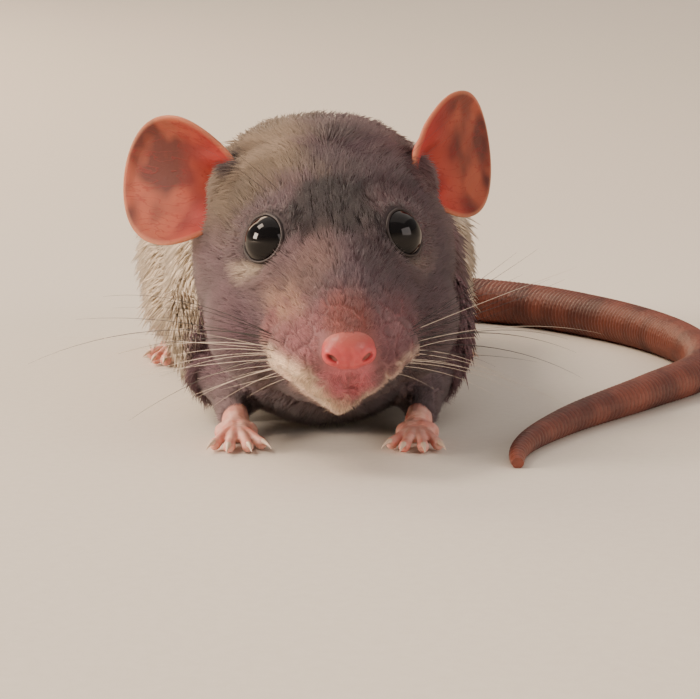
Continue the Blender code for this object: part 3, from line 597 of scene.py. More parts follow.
# Skin: one surface over all the flesh, drawn in by the coat's depth.
fleshNodes = (
    "head", "lower_jaw", "neck", "torso", "foreleg_left", "foreleg_right", "hindleg_left", "hindleg_right",
)
skinFacts = {"push": 0.22, "voxel": 0.40, "headRounds": 11, "bodyRounds": 45, "socketRounds": 14}
padFacts = {"centre": (4.3, 7.8, -2.7), "radii": (3.8, 5.6, 4.0)}
creaseFacts = {"centre": (5.2, 11.4, -1.9), "radii": (3.5, 3.8, 3.4)}
plugFacts = {
    # place from the hand's root, and radius
    "wrist": ((0, -3.6, -1.1, 2.0), (0, -1.6, -0.4, 2.4), (0, 0, 0, 2.8), (0, 2.5, 0.8, 3.2)),
    # the rump round the tail's root, and the breast between the forelegs
    "trunk": (((-8.3, 126.0, 9.0), 5.2), ((-7.6, 129.0, 8.0), 4.6), ((-2.8, 31.0, 8.3), (12.0, 9.5, 8.0))),
}
# back from the nose on the head, then along the body: coat depth, tuft length, lift, width, tufts per mm2
coatTable = {
    "back": (0.0, 3.0, 6.0, 10.0, 15.0, 20.0, 28.0, 36.0, 44.0, 58.0, 120.0),
    "depth": (0.12, 0.18, 0.26, 0.36, 0.50, 0.70, 1.05, 1.30, 1.60, 2.10, 2.00),
    "length": (0.50, 0.80, 1.20, 1.70, 2.30, 2.80, 3.60, 4.60, 5.60, 7.40, 8.60),
    "lift": (0.12, 0.18, 0.24, 0.32, 0.42, 0.54, 0.76, 1.00, 1.30, 1.60, 1.70),
    "width": (0.07, 0.08, 0.09, 0.10, 0.12, 0.14, 0.17, 0.20, 0.28, 0.38, 0.44),
    "density": (90, 84, 66, 52, 42, 36, 28, 22, 8.6, 5.4, 4.8),
}


def nodeCopy(name, push):
    shape = bmesh.new()
    shape.from_mesh(frame["nodes"][name].data)
    bmesh.ops.remove_doubles(shape, verts=shape.verts, dist=1e-6)
    shape.normal_update()
    for v in shape.verts:
        v.co += v.normal * push * mm
    mesh = bpy.data.meshes.new(name)
    shape.to_mesh(mesh)
    shape.free()
    return mesh


def plug(design, radii):  # an ellipsoid that fills a hollow left where another node sits
    radii = np.broadcast_to(radii, 3)
    shape = bmesh.new()
    turn = Matrix(headAxes.tolist()).transposed() @ Matrix.Diagonal([r * mm for r in radii])
    place = Matrix.Translation(Vector(toMetres(design))) @ turn.to_4x4()
    bmesh.ops.create_icosphere(shape, subdivisions=3, radius=1.0, matrix=place)
    mesh = bpy.data.meshes.new("plug")
    shape.to_mesh(mesh)
    shape.free()
    return mesh


def alongOf(design):  # the coat table's first column at each point
    head = toHead(design)
    return np.where(design[:, 1] < 40, np.maximum(head[:, 1], 0), np.maximum(design[:, 1], head[:, 1]))


def makeSkin():
    meshes = [nodeCopy(name, skinFacts["push"]) for name in fleshNodes]
    meshes += [nodeCopy(name, 0.0) for name in ("nose", "hindfoot_left", "hindfoot_right")]
    for side in (-1, 1):
        across, back, up = eyeFacts["centre"]
        meshes.append(plug(atHead(across * side, back, up), eyeFacts["radius"] + 0.35))
        for facts in (padFacts, creaseFacts):
            across, back, up = facts["centre"]
            meshes.append(plug(atHead(across * side, back, up), facts["radii"]))
        meshes += [plug(handRoot(side) + (x, y, z), radius) for x, y, z, radius in plugFacts["wrist"]]
    meshes += [plug(place, radii) for place, radii in plugFacts["trunk"]]
    skin = joined("skin", meshes)
    voxelSkin(skin, skinFacts["voxel"], skinFacts["headRounds"])
    largestOnly(skin.data)
    narrowChin(skin.data)
    design = toDesign(pointsOf(skin.data))
    reach, _, _ = eyeAngles(toHead(design))
    parts = (
        ("body", smooth(design[:, 1], 36, 50), skinFacts["bodyRounds"]),
        ("sockets", smooth(reach, 6.4, 4.8), skinFacts["socketRounds"]),
    )
    for name, weights, rounds in parts:
        group = skin.vertex_groups.new(name=name)
        for share in range(1, 11):
            chosen = np.flatnonzero(np.round(weights * 10) == share)
            group.add([int(i) for i in chosen], share / 10, "REPLACE")
        soften = skin.modifiers.new(name, "SMOOTH")
        soften.factor, soften.iterations, soften.vertex_group = 0.5, rounds, name
    fewer = skin.modifiers.new("fewer", "DECIMATE")
    fewer.ratio, fewer.vertex_group, fewer.vertex_group_factor = 0.5, "body", 10.0
    fewer.use_collapse_triangulate = True
    applied(skin)
    return skin


def sinkSkin(skin):  # draws the skin in by the coat's depth and shapes mouth, philtrum and eye sockets
    mesh = skin.data
    design, normals = toDesign(pointsOf(mesh)), normalsOf(mesh)
    head = toHead(design)
    along = alongOf(design)
    depth = np.interp(along, coatTable["back"], coatTable["depth"])
    depth = np.minimum(depth, np.interp(fromHands(design), (3.0, 8.0, 16.0), (0.45, 0.8, 1.6)))
    nearGround = np.interp(design[:, 2], (0.0, 4.0, 9.0), (0.8, 1.1, 1.9))
    depth = np.where(design[:, 1] > 75, np.minimum(depth, nearGround), depth)
    depth = depth + 1.7 * highBack(design)
    depth = depth * smooth(eyeAngles(head)[0], 3.6, 6.5)
    design = design - normals * depth[:, None]
    head = toHead(design)
    reach, angle, away = eyeAngles(head)
    centre = np.array(eyeFacts["centre"])
    sides = np.where(head[:, 0] < 0, -1.0, 1.0)
    opening = eyeFacts["opening"]
    inside = (reach < 5.0) & (angle < opening + 22)
    bounds = [0] + [opening + more for more in (-5, 3, 14, 22)]
    target = np.interp(angle, bounds, (2.4, 2.5, 3.38, 3.55, 3.7))
    moved = centre + away * (target / np.maximum(reach, 1e-6))[:, None]
    moved[:, 0] *= sides
    share = np.where(inside, smooth(angle, opening + 20, opening + 5), 0.0)[:, None]
    head = head * (1 - share) + moved * share
    # the philtrum lies on the middle line, so each side gives it half its depth
    for line, sunk, half in ((mouthLine, 0.55, 0.5), (philtrumLine, 0.225, 0.42)):
        for side in (-1, 1):
            gap = distanceToLine(head * (side, 1, 1), line)
            head[:, 1] += sunk * np.exp(-((gap / half) ** 2))
    design = noseTip + head @ headAxes
    design[:, 2] = np.maximum(design[:, 2], 0.35)
    movePoints(mesh, toMetres(design))


def highBack(design):  # the top of the back, where the fur lies flattest
    return smooth(design[:, 1], 46, 58) * smooth(design[:, 2], 22, 31)


def narrowChin(mesh):  # lifts the muzzle's underside to its V edge, fading out towards the cheeks
    head = toHead(toDesign(pointsOf(mesh)))
    short = np.maximum(edgeOf(head) - riseOf(head), 0)
    share = smooth(head[:, 1], 15.0, 9.0) * smooth(np.abs(head[:, 0]), 10.0, 8.5)
    head[:, 2] += short * share * 0.92
    movePoints(mesh, toMetres(noseTip + head @ headAxes))


mouthLine = np.array([(0.0, 2.4, -5.2), (1.6, 3.2, -4.9), (3.2, 5.4, -4.7), (4.8, 8.4, -4.3),
                      (6.0, 11.0, -4.0)])
philtrumLine = np.array([(0.0, 0.8, -2.6), (0.0, 1.4, -3.8), (0.0, 2.3, -5.2)])


def distanceToLine(points, line):
    best = np.full(len(points), 1e9)
    for start, end in zip(line[:-1], line[1:]):
        way = end - start
        t = np.clip((points - start) @ way / (way @ way), 0, 1)
        best = np.minimum(best, np.linalg.norm(points - start - t[:, None] * way, axis=1))
    return best


def lieOfCoat(design, normals):
    head = toHead(design)
    l, a, u = head.T
    side = np.where(l < 0, -1.0, 1.0)
    flow = np.stack([0.012 * l * smooth(a, 4, 20), np.ones_like(a), np.zeros_like(a)], axis=1)
    flow[:, 0] += side * 0.25 * smooth(u, 1, -5) * smooth(a, 6, 12)
    flow[:, 2] -= 0.42 * smooth(u, 3, -6) * smooth(a, 8, 16)
    reach, angle, away = eyeAngles(head)
    around = (np.exp(-(((reach - 3.4) / 2.0) ** 2)) * smooth(angle, 110, 80))[:, None]
    flow += 0.9 * around * unit(away) * np.stack([side, 0 * side + 1, 0 * side + 1], axis=1)
    flow = flow @ headAxes
    x = design[:, 0] - middleOf(design)
    beyond = np.stack([0 * x, 0 * x + 1.0, 0 * x - 0.12], axis=1)
    beyond[:, 2] -= 0.75 * smooth(np.abs(normals[:, 0]), 0.3, 0.9) + 0.9 * smooth(design[:, 1], 116, 130)
    chest = (smooth(normals[:, 1], -0.15, -0.6) * smooth(design[:, 1], 60, 48))[:, None]
    down = np.stack([0.35 * np.sign(x), 0 * x + 0.15, 0 * x - 1.0], axis=1)
    beyond = beyond * (1 - chest) + down * chest
    for side in (-1, 1):
        start, end = beside((13.0, 47.0, 13.0), side), handRoot(side) - (0, 3.0, 0.6)
        gap = distanceToLine(design, np.array([start, end]))
        share = smooth(gap, 7.5, 4.5)[:, None]
        beyond = beyond * (1 - share) + unit(end - start) * share
    share = smooth(design[:, 1] + 0.4 * (design[:, 2] - 18), 24, 34)[:, None]
    flow = flow * (1 - share) + beyond * share
    flow = flow + 0.16 * np.stack([ripple(design, 7.0, seed) for seed in (21, 22, 23)], axis=1)
    return unit(flow - normals * np.sum(flow * normals, axis=1)[:, None])


def readyForCoat(obj, table, colours, lie, bare):
    # Stores on the skin all that the tufts read where they grow.
    mesh = obj.data
    design, normals = toDesign(pointsOf(mesh)), normalsOf(mesh)
    store(mesh, "coatColour", "FLOAT_COLOR", np.hstack([colours, np.ones((len(colours), 1))]).astype(np.float32))
    store(mesh, "lie", "FLOAT_VECTOR", lie(design, normals).astype(np.float32))
    store(mesh, "out", "FLOAT_VECTOR", normals.astype(np.float32))
    for key in ("length", "lift", "width"):
        store(mesh, key, "FLOAT", (table[key] * mm).astype(np.float32))
    density = np.clip(table["density"] * bare, 0, None)
    store(mesh, "density", "FLOAT", (density * 1e6).astype(np.float32))
    return density


def unwrap(obj):
    for other in bpy.context.selected_objects:
        other.select_set(False)
    obj.select_set(True)
    bpy.context.view_layer.objects.active = obj
    obj.data.uv_layers.new(name="unwrap")
    bpy.ops.object.mode_set(mode="EDIT")
    bpy.ops.mesh.select_all(action="SELECT")
    bpy.ops.uv.smart_project(angle_limit=math.radians(66), island_margin=0.002)
    bpy.ops.object.mode_set(mode="OBJECT")
    obj.select_set(False)


def splitIntoRegions(obj, density, order):
    # Numbers the faces so that no region grows too many tufts; gives each region's kind of tuft.
    mesh = obj.data
    count = len(mesh.polygons)
    areas = np.empty(count)
    mesh.polygons.foreach_get("area", areas)
    middles = np.empty(count * 3)
    mesh.polygons.foreach_get("center", middles)
    first = np.empty(count, np.int32)
    mesh.polygons.foreach_get("loop_start", first)
    corners = np.empty(len(mesh.loops), np.int32)
    mesh.loops.foreach_get("vertex_index", corners)
    expected = areas * 1e6 * density[corners[first]]
    key = order(toDesign(middles.reshape(-1, 3)))
    numbers, kinds = np.zeros(count, np.int32), []
    for kind, mine in (("short", key < tuftFacts["longFrom"]), ("long", key >= tuftFacts["longFrom"])):
        ranked = np.flatnonzero(mine)[np.argsort(key[mine])]
        run = np.cumsum(expected[ranked])
        regions = math.ceil(run[-1] / tuftFacts["most"][kind])
        numbers[ranked] = len(kinds) + np.minimum(run / run[-1] * regions, regions - 1).astype(np.int32)
        kinds += [kind] * regions
        print(kind, "tufts", round(run[-1]))
    store(mesh, "region", "INT", numbers, "FACE")
    return kinds


tuftFacts = {
    # back along the lie, height above the skin and half width, as shares of length, lift and width
    "short": ((0.0, -0.40, 0.50),), "long": ((0.0, -0.45, 0.50), (0.45, 0.62, 0.42)),
    "ridge": 0.16, "patch": 0.003,
    "most": {"short": 48500, "long": 19500}, "longFrom": 38.0,
}


def tuftTemplate(kind):
    points = []
    for back, rise, half in tuftFacts[kind]:
        points += [(-half, back, rise), (half, back, rise), (0.0, back - 0.02, rise + tuftFacts["ridge"])]
    points.append((0.0, 1.0, 1.0))
    faces, last = [(0, 1, 2)], len(points) - 4
    for k in range(3):
        n = (k + 1) % 3
        if last:
            faces += [(k, n, 3 + n), (k, 3 + n, 3 + k)]
        faces.append((last + k, last + n, last + 3))
    tuft = outward(newObject(f"{kind}Tuft", points, faces))
    layer = tuft.data.attributes.new("patch", "FLOAT2", "CORNER")
    places = [tuft.data.vertices[loop.vertex_index].co for loop in tuft.data.loops]
    layer.data.foreach_set("vector", np.array([(p.x, p.y - 0.5) for p in places]).ravel() * tuftFacts["patch"])
    store(tuft.data, "along", "FLOAT", np.array([v.co.y for v in tuft.data.vertices], np.float32))
    tuft.hide_render = True
    return tuft


def coatTree():
    tree, given = newTree("coatTufts", "Coat", (
        ("Skin", "Geometry", None), ("Region", "Int", 0), ("Seed", "Int", 1), ("Clump size", "Float", 0.0016),
        ("Clump pull", "Float", 0.4), ("Sway", "Float", 0.25), ("Stray", "Float", 0.3),
        ("Floor height", "Float", 0.0001), ("Tuft", "Object", None), ("Material", "Material", None),
    ))

    def named(name, kind):
        node = addNode(tree, "GeometryNodeInputNamedAttribute", {"Name": name}, data_type=kind)
        return node.outputs["Attribute"]

    def vectors(operation, first, second, slot=1):
        node = addNode(tree, "ShaderNodeVectorMath", {0: first, slot: second}, operation=operation)
        return node.outputs["Value" if operation == "DOT_PRODUCT" else "Vector"]

    def chance(low, high, number, kind="FLOAT"):  # the node keeps its vector and number sockets apart
        slots = (0, 1, 0) if kind == "FLOAT_VECTOR" else (2, 3, 1)
        links = {"Seed": number, slots[0]: low, slots[1]: high}
        return addNode(tree, "FunctionNodeRandomValue", links, data_type=kind).outputs[slots[2]]

    links = {2: named("region", "INT"), 3: given["Region"]}
    same = addNode(tree, "FunctionNodeCompare", links, data_type="INT", operation="EQUAL")
    links = {"Geometry": given["Skin"], "Selection": same.outputs[0]}
    chosen = addNode(tree, "GeometryNodeSeparateGeometry", links, domain="FACE").outputs[0]
    links = {"Mesh": chosen, "Density": named("density", "FLOAT"), "Seed": given["Seed"]}
    spots = addNode(tree, "GeometryNodeDistributePointsOnFaces", links, distribute_method="RANDOM").outputs[0]
    place = addNode(tree, "GeometryNodeInputPosition").outputs[0]
    spots = keep(tree, spots, "root", "FLOAT_VECTOR", place)
    spots = keep(tree, spots, "shade", "FLOAT", chance(0.0, 1.0, 7))
    stray = chance((-1, -1, -1), (1, 1, 1), 11, "FLOAT_VECTOR")
    lie = vectors("ADD", named("lie", "FLOAT_VECTOR"), vectors("SCALE", stray, given["Stray"], "Scale"))
    links = {0: named("out", "FLOAT_VECTOR"), 1: lie}
    turn = addNode(tree, "FunctionNodeAxesToRotation", links, primary_axis="Z", secondary_axis="Y")
    sizes = (("width", 0.7, 1.35, 3), ("length", 0.6, 1.15, 4), ("lift", 0.55, 1.45, 5))
    drawn = [mathNode(tree, "MULTIPLY", named(key, "FLOAT"), chance(low, high, n)) for key, low, high, n in sizes]
    size = addNode(tree, "ShaderNodeCombineXYZ", dict(enumerate(drawn)))
    tuft = addNode(tree, "GeometryNodeObjectInfo", {"Object": given["Tuft"]}, transform_space="ORIGINAL")
    links = {
        "Points": spots, "Instance": tuft.outputs["Geometry"], "Rotation": turn.outputs[0], "Scale": size.outputs[0],
    }
    coat = addNode(tree, "GeometryNodeInstanceOnPoints", links).outputs[0]
    coat = addNode(tree, "GeometryNodeRealizeInstances", {"Geometry": coat}).outputs[0]

    # tips draw together in clumps and sway in soft waves, both along the skin
    root = named("root", "FLOAT_VECTOR")
    clumps = scaledBy(tree, root, mathNode(tree, "DIVIDE", 1.0, given["Clump size"]))
    cell = addNode(tree, "ShaderNodeTexVoronoi", {"Vector": clumps, "Scale": 1.0}).outputs["Position"]
    middle = vectors("SCALE", cell, given["Clump size"], "Scale")
    pull = vectors("SCALE", vectors("SUBTRACT", middle, root), given["Clump pull"], "Scale")
    wide = vectors("SCALE", clumps, 0.3, "Scale")
    noise = addNode(tree, "ShaderNodeTexNoise", {"Vector": wide, "Scale": 1.0, "Detail": 1.0}).outputs["Color"]
    sway = vectors("SUBTRACT", noise, (0.5, 0.5, 0.5))
    sway = vectors("SCALE", sway, mathNode(tree, "MULTIPLY", named("length", "FLOAT"), given["Sway"]), "Scale")
    drift = vectors("ADD", pull, vectors("SCALE", sway, 2.0, "Scale"))
    out = named("out", "FLOAT_VECTOR")
    rise = vectors("SCALE", out, vectors("DOT_PRODUCT", drift, out), "Scale")
    drift = vectors("SUBTRACT", drift, rise)
    share = mathNode(tree, "POWER", named("along", "FLOAT"), 1.6)
    links = {"Geometry": coat, "Offset": vectors("SCALE", drift, share, "Scale")}
    coat = addNode(tree, "GeometryNodeSetPosition", links).outputs[0]
    place = addNode(tree, "GeometryNodeInputPosition").outputs[0]
    parts = addNode(tree, "ShaderNodeSeparateXYZ", {0: place}).outputs
    height = mathNode(tree, "MAXIMUM", parts[2], given["Floor height"])
    above = addNode(tree, "ShaderNodeCombineXYZ", {0: parts[0], 1: parts[1], 2: height}).outputs[0]
    coat = addNode(tree, "GeometryNodeSetPosition", {"Geometry": coat, "Position": above}).outputs[0]
    spot = vectors("ADD", named("unwrap", "FLOAT_VECTOR"), named("patch", "FLOAT_VECTOR"))
    closeTree(tree, given, keep(tree, coat, "OFBake", "FLOAT2", spot, "CORNER"), "Coat")
    return tree


def grow(name, skin, tree, inputs):
    host = bpy.data.objects.new(name, skin.data)
    bpy.context.scene.collection.objects.link(host)
    mesh = treeResult(host, tree, inputs)
    host.modifiers.clear()
    host.data = mesh
    kept = {"coatColour", "along", "shade", "OFBake", "sharp_face", "material_index"}
    for layer in [x.name for x in mesh.attributes if not (x.is_internal or x.is_required or x.name in kept)]:
        mesh.attributes.remove(mesh.attributes[layer])
    mesh.name = name
    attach(host, "root")
    print(name, len(mesh.polygons))


# Fur: short hair, grown in fine tufts; matt. The darker roots and paler tips are painted shade, standing in for the
# tufts shading one another near the skin.
def coatMaterial(name, rootShade, tipShade, roughness):
    made = plainMaterial(
        name, None, roughness, Specular_IOR_Level=0.28, Sheen_Weight=0.12, Sheen_Roughness=0.45
    )
    tree = made.node_tree
    # painted shade: each tuft darker toward its root
    paintedRootShade = mapped(tree, attribute(tree, "along"), 0.0, 1.0, rootShade, tipShade)
    each = mapped(tree, attribute(tree, "shade"), 0.0, 1.0, 0.78, 1.24)
    spots = mapped(tree, noiseOf(tree, objectSpace(tree), 420.0), 0.3, 0.7, 0.88, 1.10)
    total = mathNode(tree, "MULTIPLY", mathNode(tree, "MULTIPLY", paintedRootShade, each), spots)
    return paintShader(made, scaledBy(tree, attribute(tree, "coatColour", "Color"), total))


# Skin under the fur: the same markings, a little darker, with the grain of fine hair as bump.
def skinMaterial():
    made = plainMaterial("haired skin", None, 0.7)
    tree = made.node_tree
    grain = noiseOf(tree, objectSpace(tree), 2600.0, 3.0)
    darker = mapped(tree, grain, 0.0, 1.0, 0.42, 0.78)
    colour = scaledBy(tree, attribute(tree, "coatColour", "Color"), darker)
    return paintShader(made, colour, grain, 0.4, 0.0002)


skin = makeSkin()
print("skin", len(skin.data.polygons))
sinkSkin(skin)
skin.data.shade_smooth()
design = toDesign(pointsOf(skin.data))
along = alongOf(design)
table = {key: np.interp(along, coatTable["back"], coatTable[key]) for key in ("length", "lift", "width", "density")}
reach, angle, _ = eyeAngles(toHead(design))
toePlaces = ((20.4, 88.0, 1.5), (20.8, 80.0, 0.8))
toeLines = [np.array([beside(place, side) for place in toePlaces]) for side in (-1, 1)]
nearFoot = np.minimum(*(distanceToLine(design, line) for line in toeLines))
shorter = smooth(fromHands(design), 1.5, 12.0) * 0.68 + 0.32
shorter = np.minimum(shorter, smooth(nearFoot, 3.0, 12.0) * 0.75 + 0.25)
shorter = np.minimum(shorter, np.where(along > 40, smooth(design[:, 2], -1.0, 6.0) * 0.7 + 0.3, 1.0))
for key in ("length", "lift", "width"):
    table[key] = table[key] * shorter
table["density"] = table["density"] / shorter**1.2
table["lift"] = table["lift"] * (1 - 0.45 * highBack(design))
nearEye = smooth(reach, 3.3, 5.4)
nearEar = np.minimum(*(np.linalg.norm(toHead(design) - (12.4 * side, 31.0, 11.0), axis=1) for side in (-1, 1)))
for key in ("length", "lift"):
    table[key] = table[key] * np.where(angle < 100, 0.28 + 0.72 * nearEye, 1.0) * (0.5 + 0.5 * smooth(nearEar, 3.0, 7.5))
bare = np.where(reach < 4.2, smooth(angle, eyeFacts["opening"] + 3, eyeFacts["opening"] + 9), 1.0)
bare = bare * smooth(nearFoot, 2.0, 4.5)
l, a, u = toHead(design).T
bare = bare * (1 - smooth(a, 3.4, 2.6) * smooth(np.abs(l), 3.4, 2.6) * smooth(u, -3.4, -2.4) * smooth(u, 1.5, 1.0))
density = readyForCoat(skin, table, markingsWithPaintedLight(design), lieOfCoat, bare)
unwrap(skin)
kinds = splitIntoRegions(skin, density, alongOf)
tufts, tree = {kind: tuftTemplate(kind) for kind in ("short", "long")}, coatTree()
fur = coatMaterial("soft short fur", 0.66, 1.10, 0.62)
for n, kind in enumerate(kinds):
    inputs = {"Tuft": tufts[kind], "Material": fur, "Region": n, "Seed": 31 + n}
    grow(f"coat_{n + 1}", skin, tree, inputs)
skin.data.materials.clear()
skin.data.materials.append(skinMaterial())
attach(skin, "root")
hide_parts(*fleshNodes)
for tuft in tufts.values():
    bpy.data.objects.remove(tuft)
print("coat grown")


def finished(obj, material, slotName, *nodes):
    obj.data.materials.clear()
    obj.data.materials.append(material)
    obj.data.shade_smooth()
    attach(obj, "root")
    if nodes:
        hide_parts(*nodes)


def grid(rows, columns, closed):  # quads between rows of points, wrapped round if closed
    faces = []
    for r in range(rows - 1):
        for c in range(columns if closed else columns - 1):
            n = (c + 1) % columns
            faces.append((r * columns + c, r * columns + n, (r + 1) * columns + n, (r + 1) * columns + c))
    return faces


# Eyes: wet, nearly black balls with a slight bulge of the cornea. Living cornea is as clear and
# smooth as water, so lamps show in it as small sharp lights.
def eyeDirections(side):
    look = unit(np.array(eyeFacts["look"]) * (side, 1, 1)) @ headAxes
    across = unit(np.cross(look, (0, 0, 1)))
    return look, across, np.cross(across, look)


def makeEye(side, name):
    centre = atHead(*(np.array(eyeFacts["centre"]) * (side, 1, 1)))
    look, across, up = eyeDirections(side)
    rings, around = 36, 56
    points = [centre + look * eyeFacts["radius"] * 1.03]
    for r in range(1, rings):
        t = math.pi * r / rings
        reach = eyeFacts["radius"] * (1 + 0.03 * float(smooth(math.degrees(t), 60, 20)))
        for k in range(around):
            turn = 2 * math.pi * k / around
            way = across * math.cos(turn) + up * math.sin(turn)
            points.append(centre + reach * (look * math.cos(t) + math.sin(t) * way))
    points.append(centre - look * eyeFacts["radius"])
    faces = [(0, 1 + k, 1 + (k + 1) % around) for k in range(around)]
    faces += [tuple(i + 1 for i in face) for face in grid(rings - 1, around, True)]
    last = 1 + (rings - 2) * around
    faces += [(len(points) - 1, last + (k + 1) % around, last + k) for k in range(around)]
    return outward(newObject(name, toMetres(points), faces))


lidFacts = {"thick": 0.15, "radius": 3.17, "angle": 60.0, "narrow": 3.0}


def makeLid(side, name):
    centre = atHead(*(np.array(eyeFacts["centre"]) * (side, 1, 1)))
    look, across, up = eyeDirections(side)
    around, thick = 96, 10
    points = []
    for i in range(around):
        turn = 2 * math.pi * i / around
        tilt = math.radians(lidFacts["angle"] - lidFacts["narrow"] * math.sin(turn) ** 2)
        way = across * math.cos(turn) + up * math.sin(turn)
        middle = look * math.cos(tilt) + way * math.sin(tilt)
        inwards = way * math.cos(tilt) - look * math.sin(tilt)
        for k in range(thick):
            t = 2 * math.pi * k / thick
            size = lidFacts["thick"] * (1 + 0.10 * math.sin(9 * turn) * math.cos(t))
            place = centre + middle * (lidFacts["radius"] + size * math.cos(t))
            points.append(place + inwards * size * 1.25 * math.sin(t))
    faces = []
    for i in range(around):
        for k in range(thick):
            here, there, n = i * thick, (i + 1) % around * thick, (k + 1) % thick
            faces.append((here + k, there + k, there + n, here + n))
    return outward(newObject(name, toMetres(points), faces))


wetEye = plainMaterial("wet black cornea", "#0c0a0b", 0.03, IOR=1.36)
lidSkin = plainMaterial("bare dark lid skin", "#241a1a", 0.45)
for side, word in ((-1, "right"), (1, "left")):
    finished(makeEye(side, f"eye_ball_{word}"), wetEye, "eye_black", f"eye_{word}")
    finished(makeLid(side, f"eye_lid_{word}"), lidSkin, "coat_grey")
print("eyes set")


# Nose: a bare moist pad with two comma-shaped nostrils and a groove down its middle.
noseFacts = {
    "pad": ((0.0, 1.9, -0.5), (2.75, 2.1, 2.2)), "wing": ((1.35, 1.15, -0.75), (1.45, 1.25, 1.35)),
    "nostril": (1.80, 0.20, -0.95), "nostrilSize": (0.62, 0.9, 0.28), "nostrilTilt": 34.0, "voxel": 0.13,
}


def makeNose():
    (middle, size), (wing, wingSize) = noseFacts["pad"], noseFacts["wing"]
    wings = [plug(atHead(wing[0] * side, *wing[1:]), wingSize) for side in (-1, 1)]
    nose = joined("nose_pad", [plug(atHead(*middle), size)] + wings)
    voxelSkin(nose, noseFacts["voxel"], 6)
    head = toHead(toDesign(pointsOf(nose.data)))
    dark = np.zeros(len(head))
    tilt = math.radians(noseFacts["nostrilTilt"])
    for side in (-1, 1):
        x, y, z = noseFacts["nostril"]
        away = head - (x * side, y, z)
        flat = np.stack([
            away[:, 0] * side * math.cos(tilt) + away[:, 2] * math.sin(tilt), away[:, 1],
            -away[:, 0] * side * math.sin(tilt) + away[:, 2] * math.cos(tilt) + 0.25 * away[:, 0] ** 2,
        ], axis=1) / noseFacts["nostrilSize"]
        deep = np.exp(-np.maximum(np.linalg.norm(flat, axis=1) - 0.25, 0) ** 2 * 2.4) * smooth(head[:, 1], 2.4, 1.2)
        head[:, 1] += 0.95 * deep
        head[:, 0] -= 0.30 * deep * side
        dark = np.maximum(dark, deep)
    head[:, 1] += 0.22 * np.exp(-((head[:, 0] / 0.28) ** 2)) * smooth(head[:, 2], 0.6, -0.8)
    # its top slopes back under the short fur of the bridge
    head[:, 1] += 0.10 * smooth(head[:, 2], 0.0, 1.6)
    head[:, 2] = np.where(head[:, 2] > -0.5, -0.5 + (head[:, 2] + 0.5) * 0.93, head[:, 2])
    movePoints(nose.data, toMetres(noseTip + head @ headAxes))
    # painted shade: the sunk nostrils are also painted dark inside
    store(nose.data, "dark", "FLOAT", smooth(dark, 0.25, 0.9).astype(np.float32))
    store(nose.data, "upper", "FLOAT", smooth(head[:, 2], -0.6, 1.1).astype(np.float32))
    return nose


def noseMaterial():
    made = plainMaterial(
        "moist bare nose skin", "#d9685f", 0.42, Coat_Weight=0.25, Coat_Roughness=0.25,
        Subsurface_Weight=0.25, Subsurface_Radius=(0.8, 0.25, 0.15), Subsurface_Scale=0.001,
    )
    tree = made.node_tree
    space = objectSpace(tree)
    tone = mixed(tree, noiseOf(tree, space, 900.0), "#b4343c", "#c6565a")
    tone = mixed(tree, attribute(tree, "upper"), tone, "#a8524a")
    # painted shade darkens the nostrils
    tone = mixed(tree, attribute(tree, "dark"), tone, "#4d1013")
    # fine pebbled skin, about 0.15 mm to a bump
    cells = addNode(tree, "ShaderNodeTexVoronoi", {"Vector": space, "Scale": 6500.0}).outputs["Distance"]
    return paintShader(made, tone, cells, 0.35, 0.00008)


finished(makeNose(), noseMaterial(), "nose_red", "nose")
print("nose set")


# Ears: thin cupped leaves, nearly bare, with veins and brown patches. Their red-orange tones are partly the skin's own
# and partly painted glow of light shining through, and the rim is a painted highlight.
earFacts = {
    "right": {"root": (-12.2, 31.0, 10.2), "grow": (-0.79, 0.60, 0.02), "face": (-0.56, -0.78, 0.26), "cup": 3.0},
    "left": {"root": (12.8, 30.9, 11.9), "grow": (0.617, 0.785, 0.055), "face": (0.745, -0.650, 0.150), "cup": 0.9},
}
earForm = {
    "length": 14.2, "width": 14.9, "sunk": 4.0, "hollow": 1.6, "bend": 0.9, "narrow": 0.40, "thick": 0.42, "roll": 0.5,
}


def earSheet(word, shares, turns):  # the ear's middle sheet, and its share and turn at each point
    facts = earFacts[word]
    root = atHead(*facts["root"])
    growing = unit(np.array(facts["grow"])) @ headAxes
    facing = unit(np.array(facts["face"])) @ headAxes
    facing = unit(facing - growing * (facing @ growing))
    wide = np.cross(growing, facing)
    along = np.cos(turns)
    reach = (earForm["length"] + earForm["sunk"]) / 2
    v = reach * along * shares
    narrow = 1.0 - earForm["narrow"] * np.maximum(0, -along) ** 2
    h = earForm["width"] / 2 * np.sin(turns) * shares * narrow
    beside = 2 * h / earForm["width"]
    lift = facts["cup"] * beside**2 * (1 - 0.35 * along * shares)
    lift = lift - earForm["hollow"] * np.exp(-((v / reach + 0.55) ** 2) / 0.10 - beside**2 / 0.25)
    lift = lift - earForm["bend"] * (np.maximum(0, along) * shares) ** 2
    lift = lift + earForm["roll"] * smooth(shares, 0.80, 1.0) * smooth(along, -0.6, 0.2)
    fold = np.exp(-(((v / reach + 0.50) / 0.22) ** 2) - (((np.abs(beside) - 0.42) / 0.12) ** 2))
    lift = lift + 0.8 * fold
    middle = root + growing * (earForm["length"] - earForm["sunk"]) / 2
    return middle + wide * h[:, None] + growing * v[:, None] + facing * lift[:, None], facing


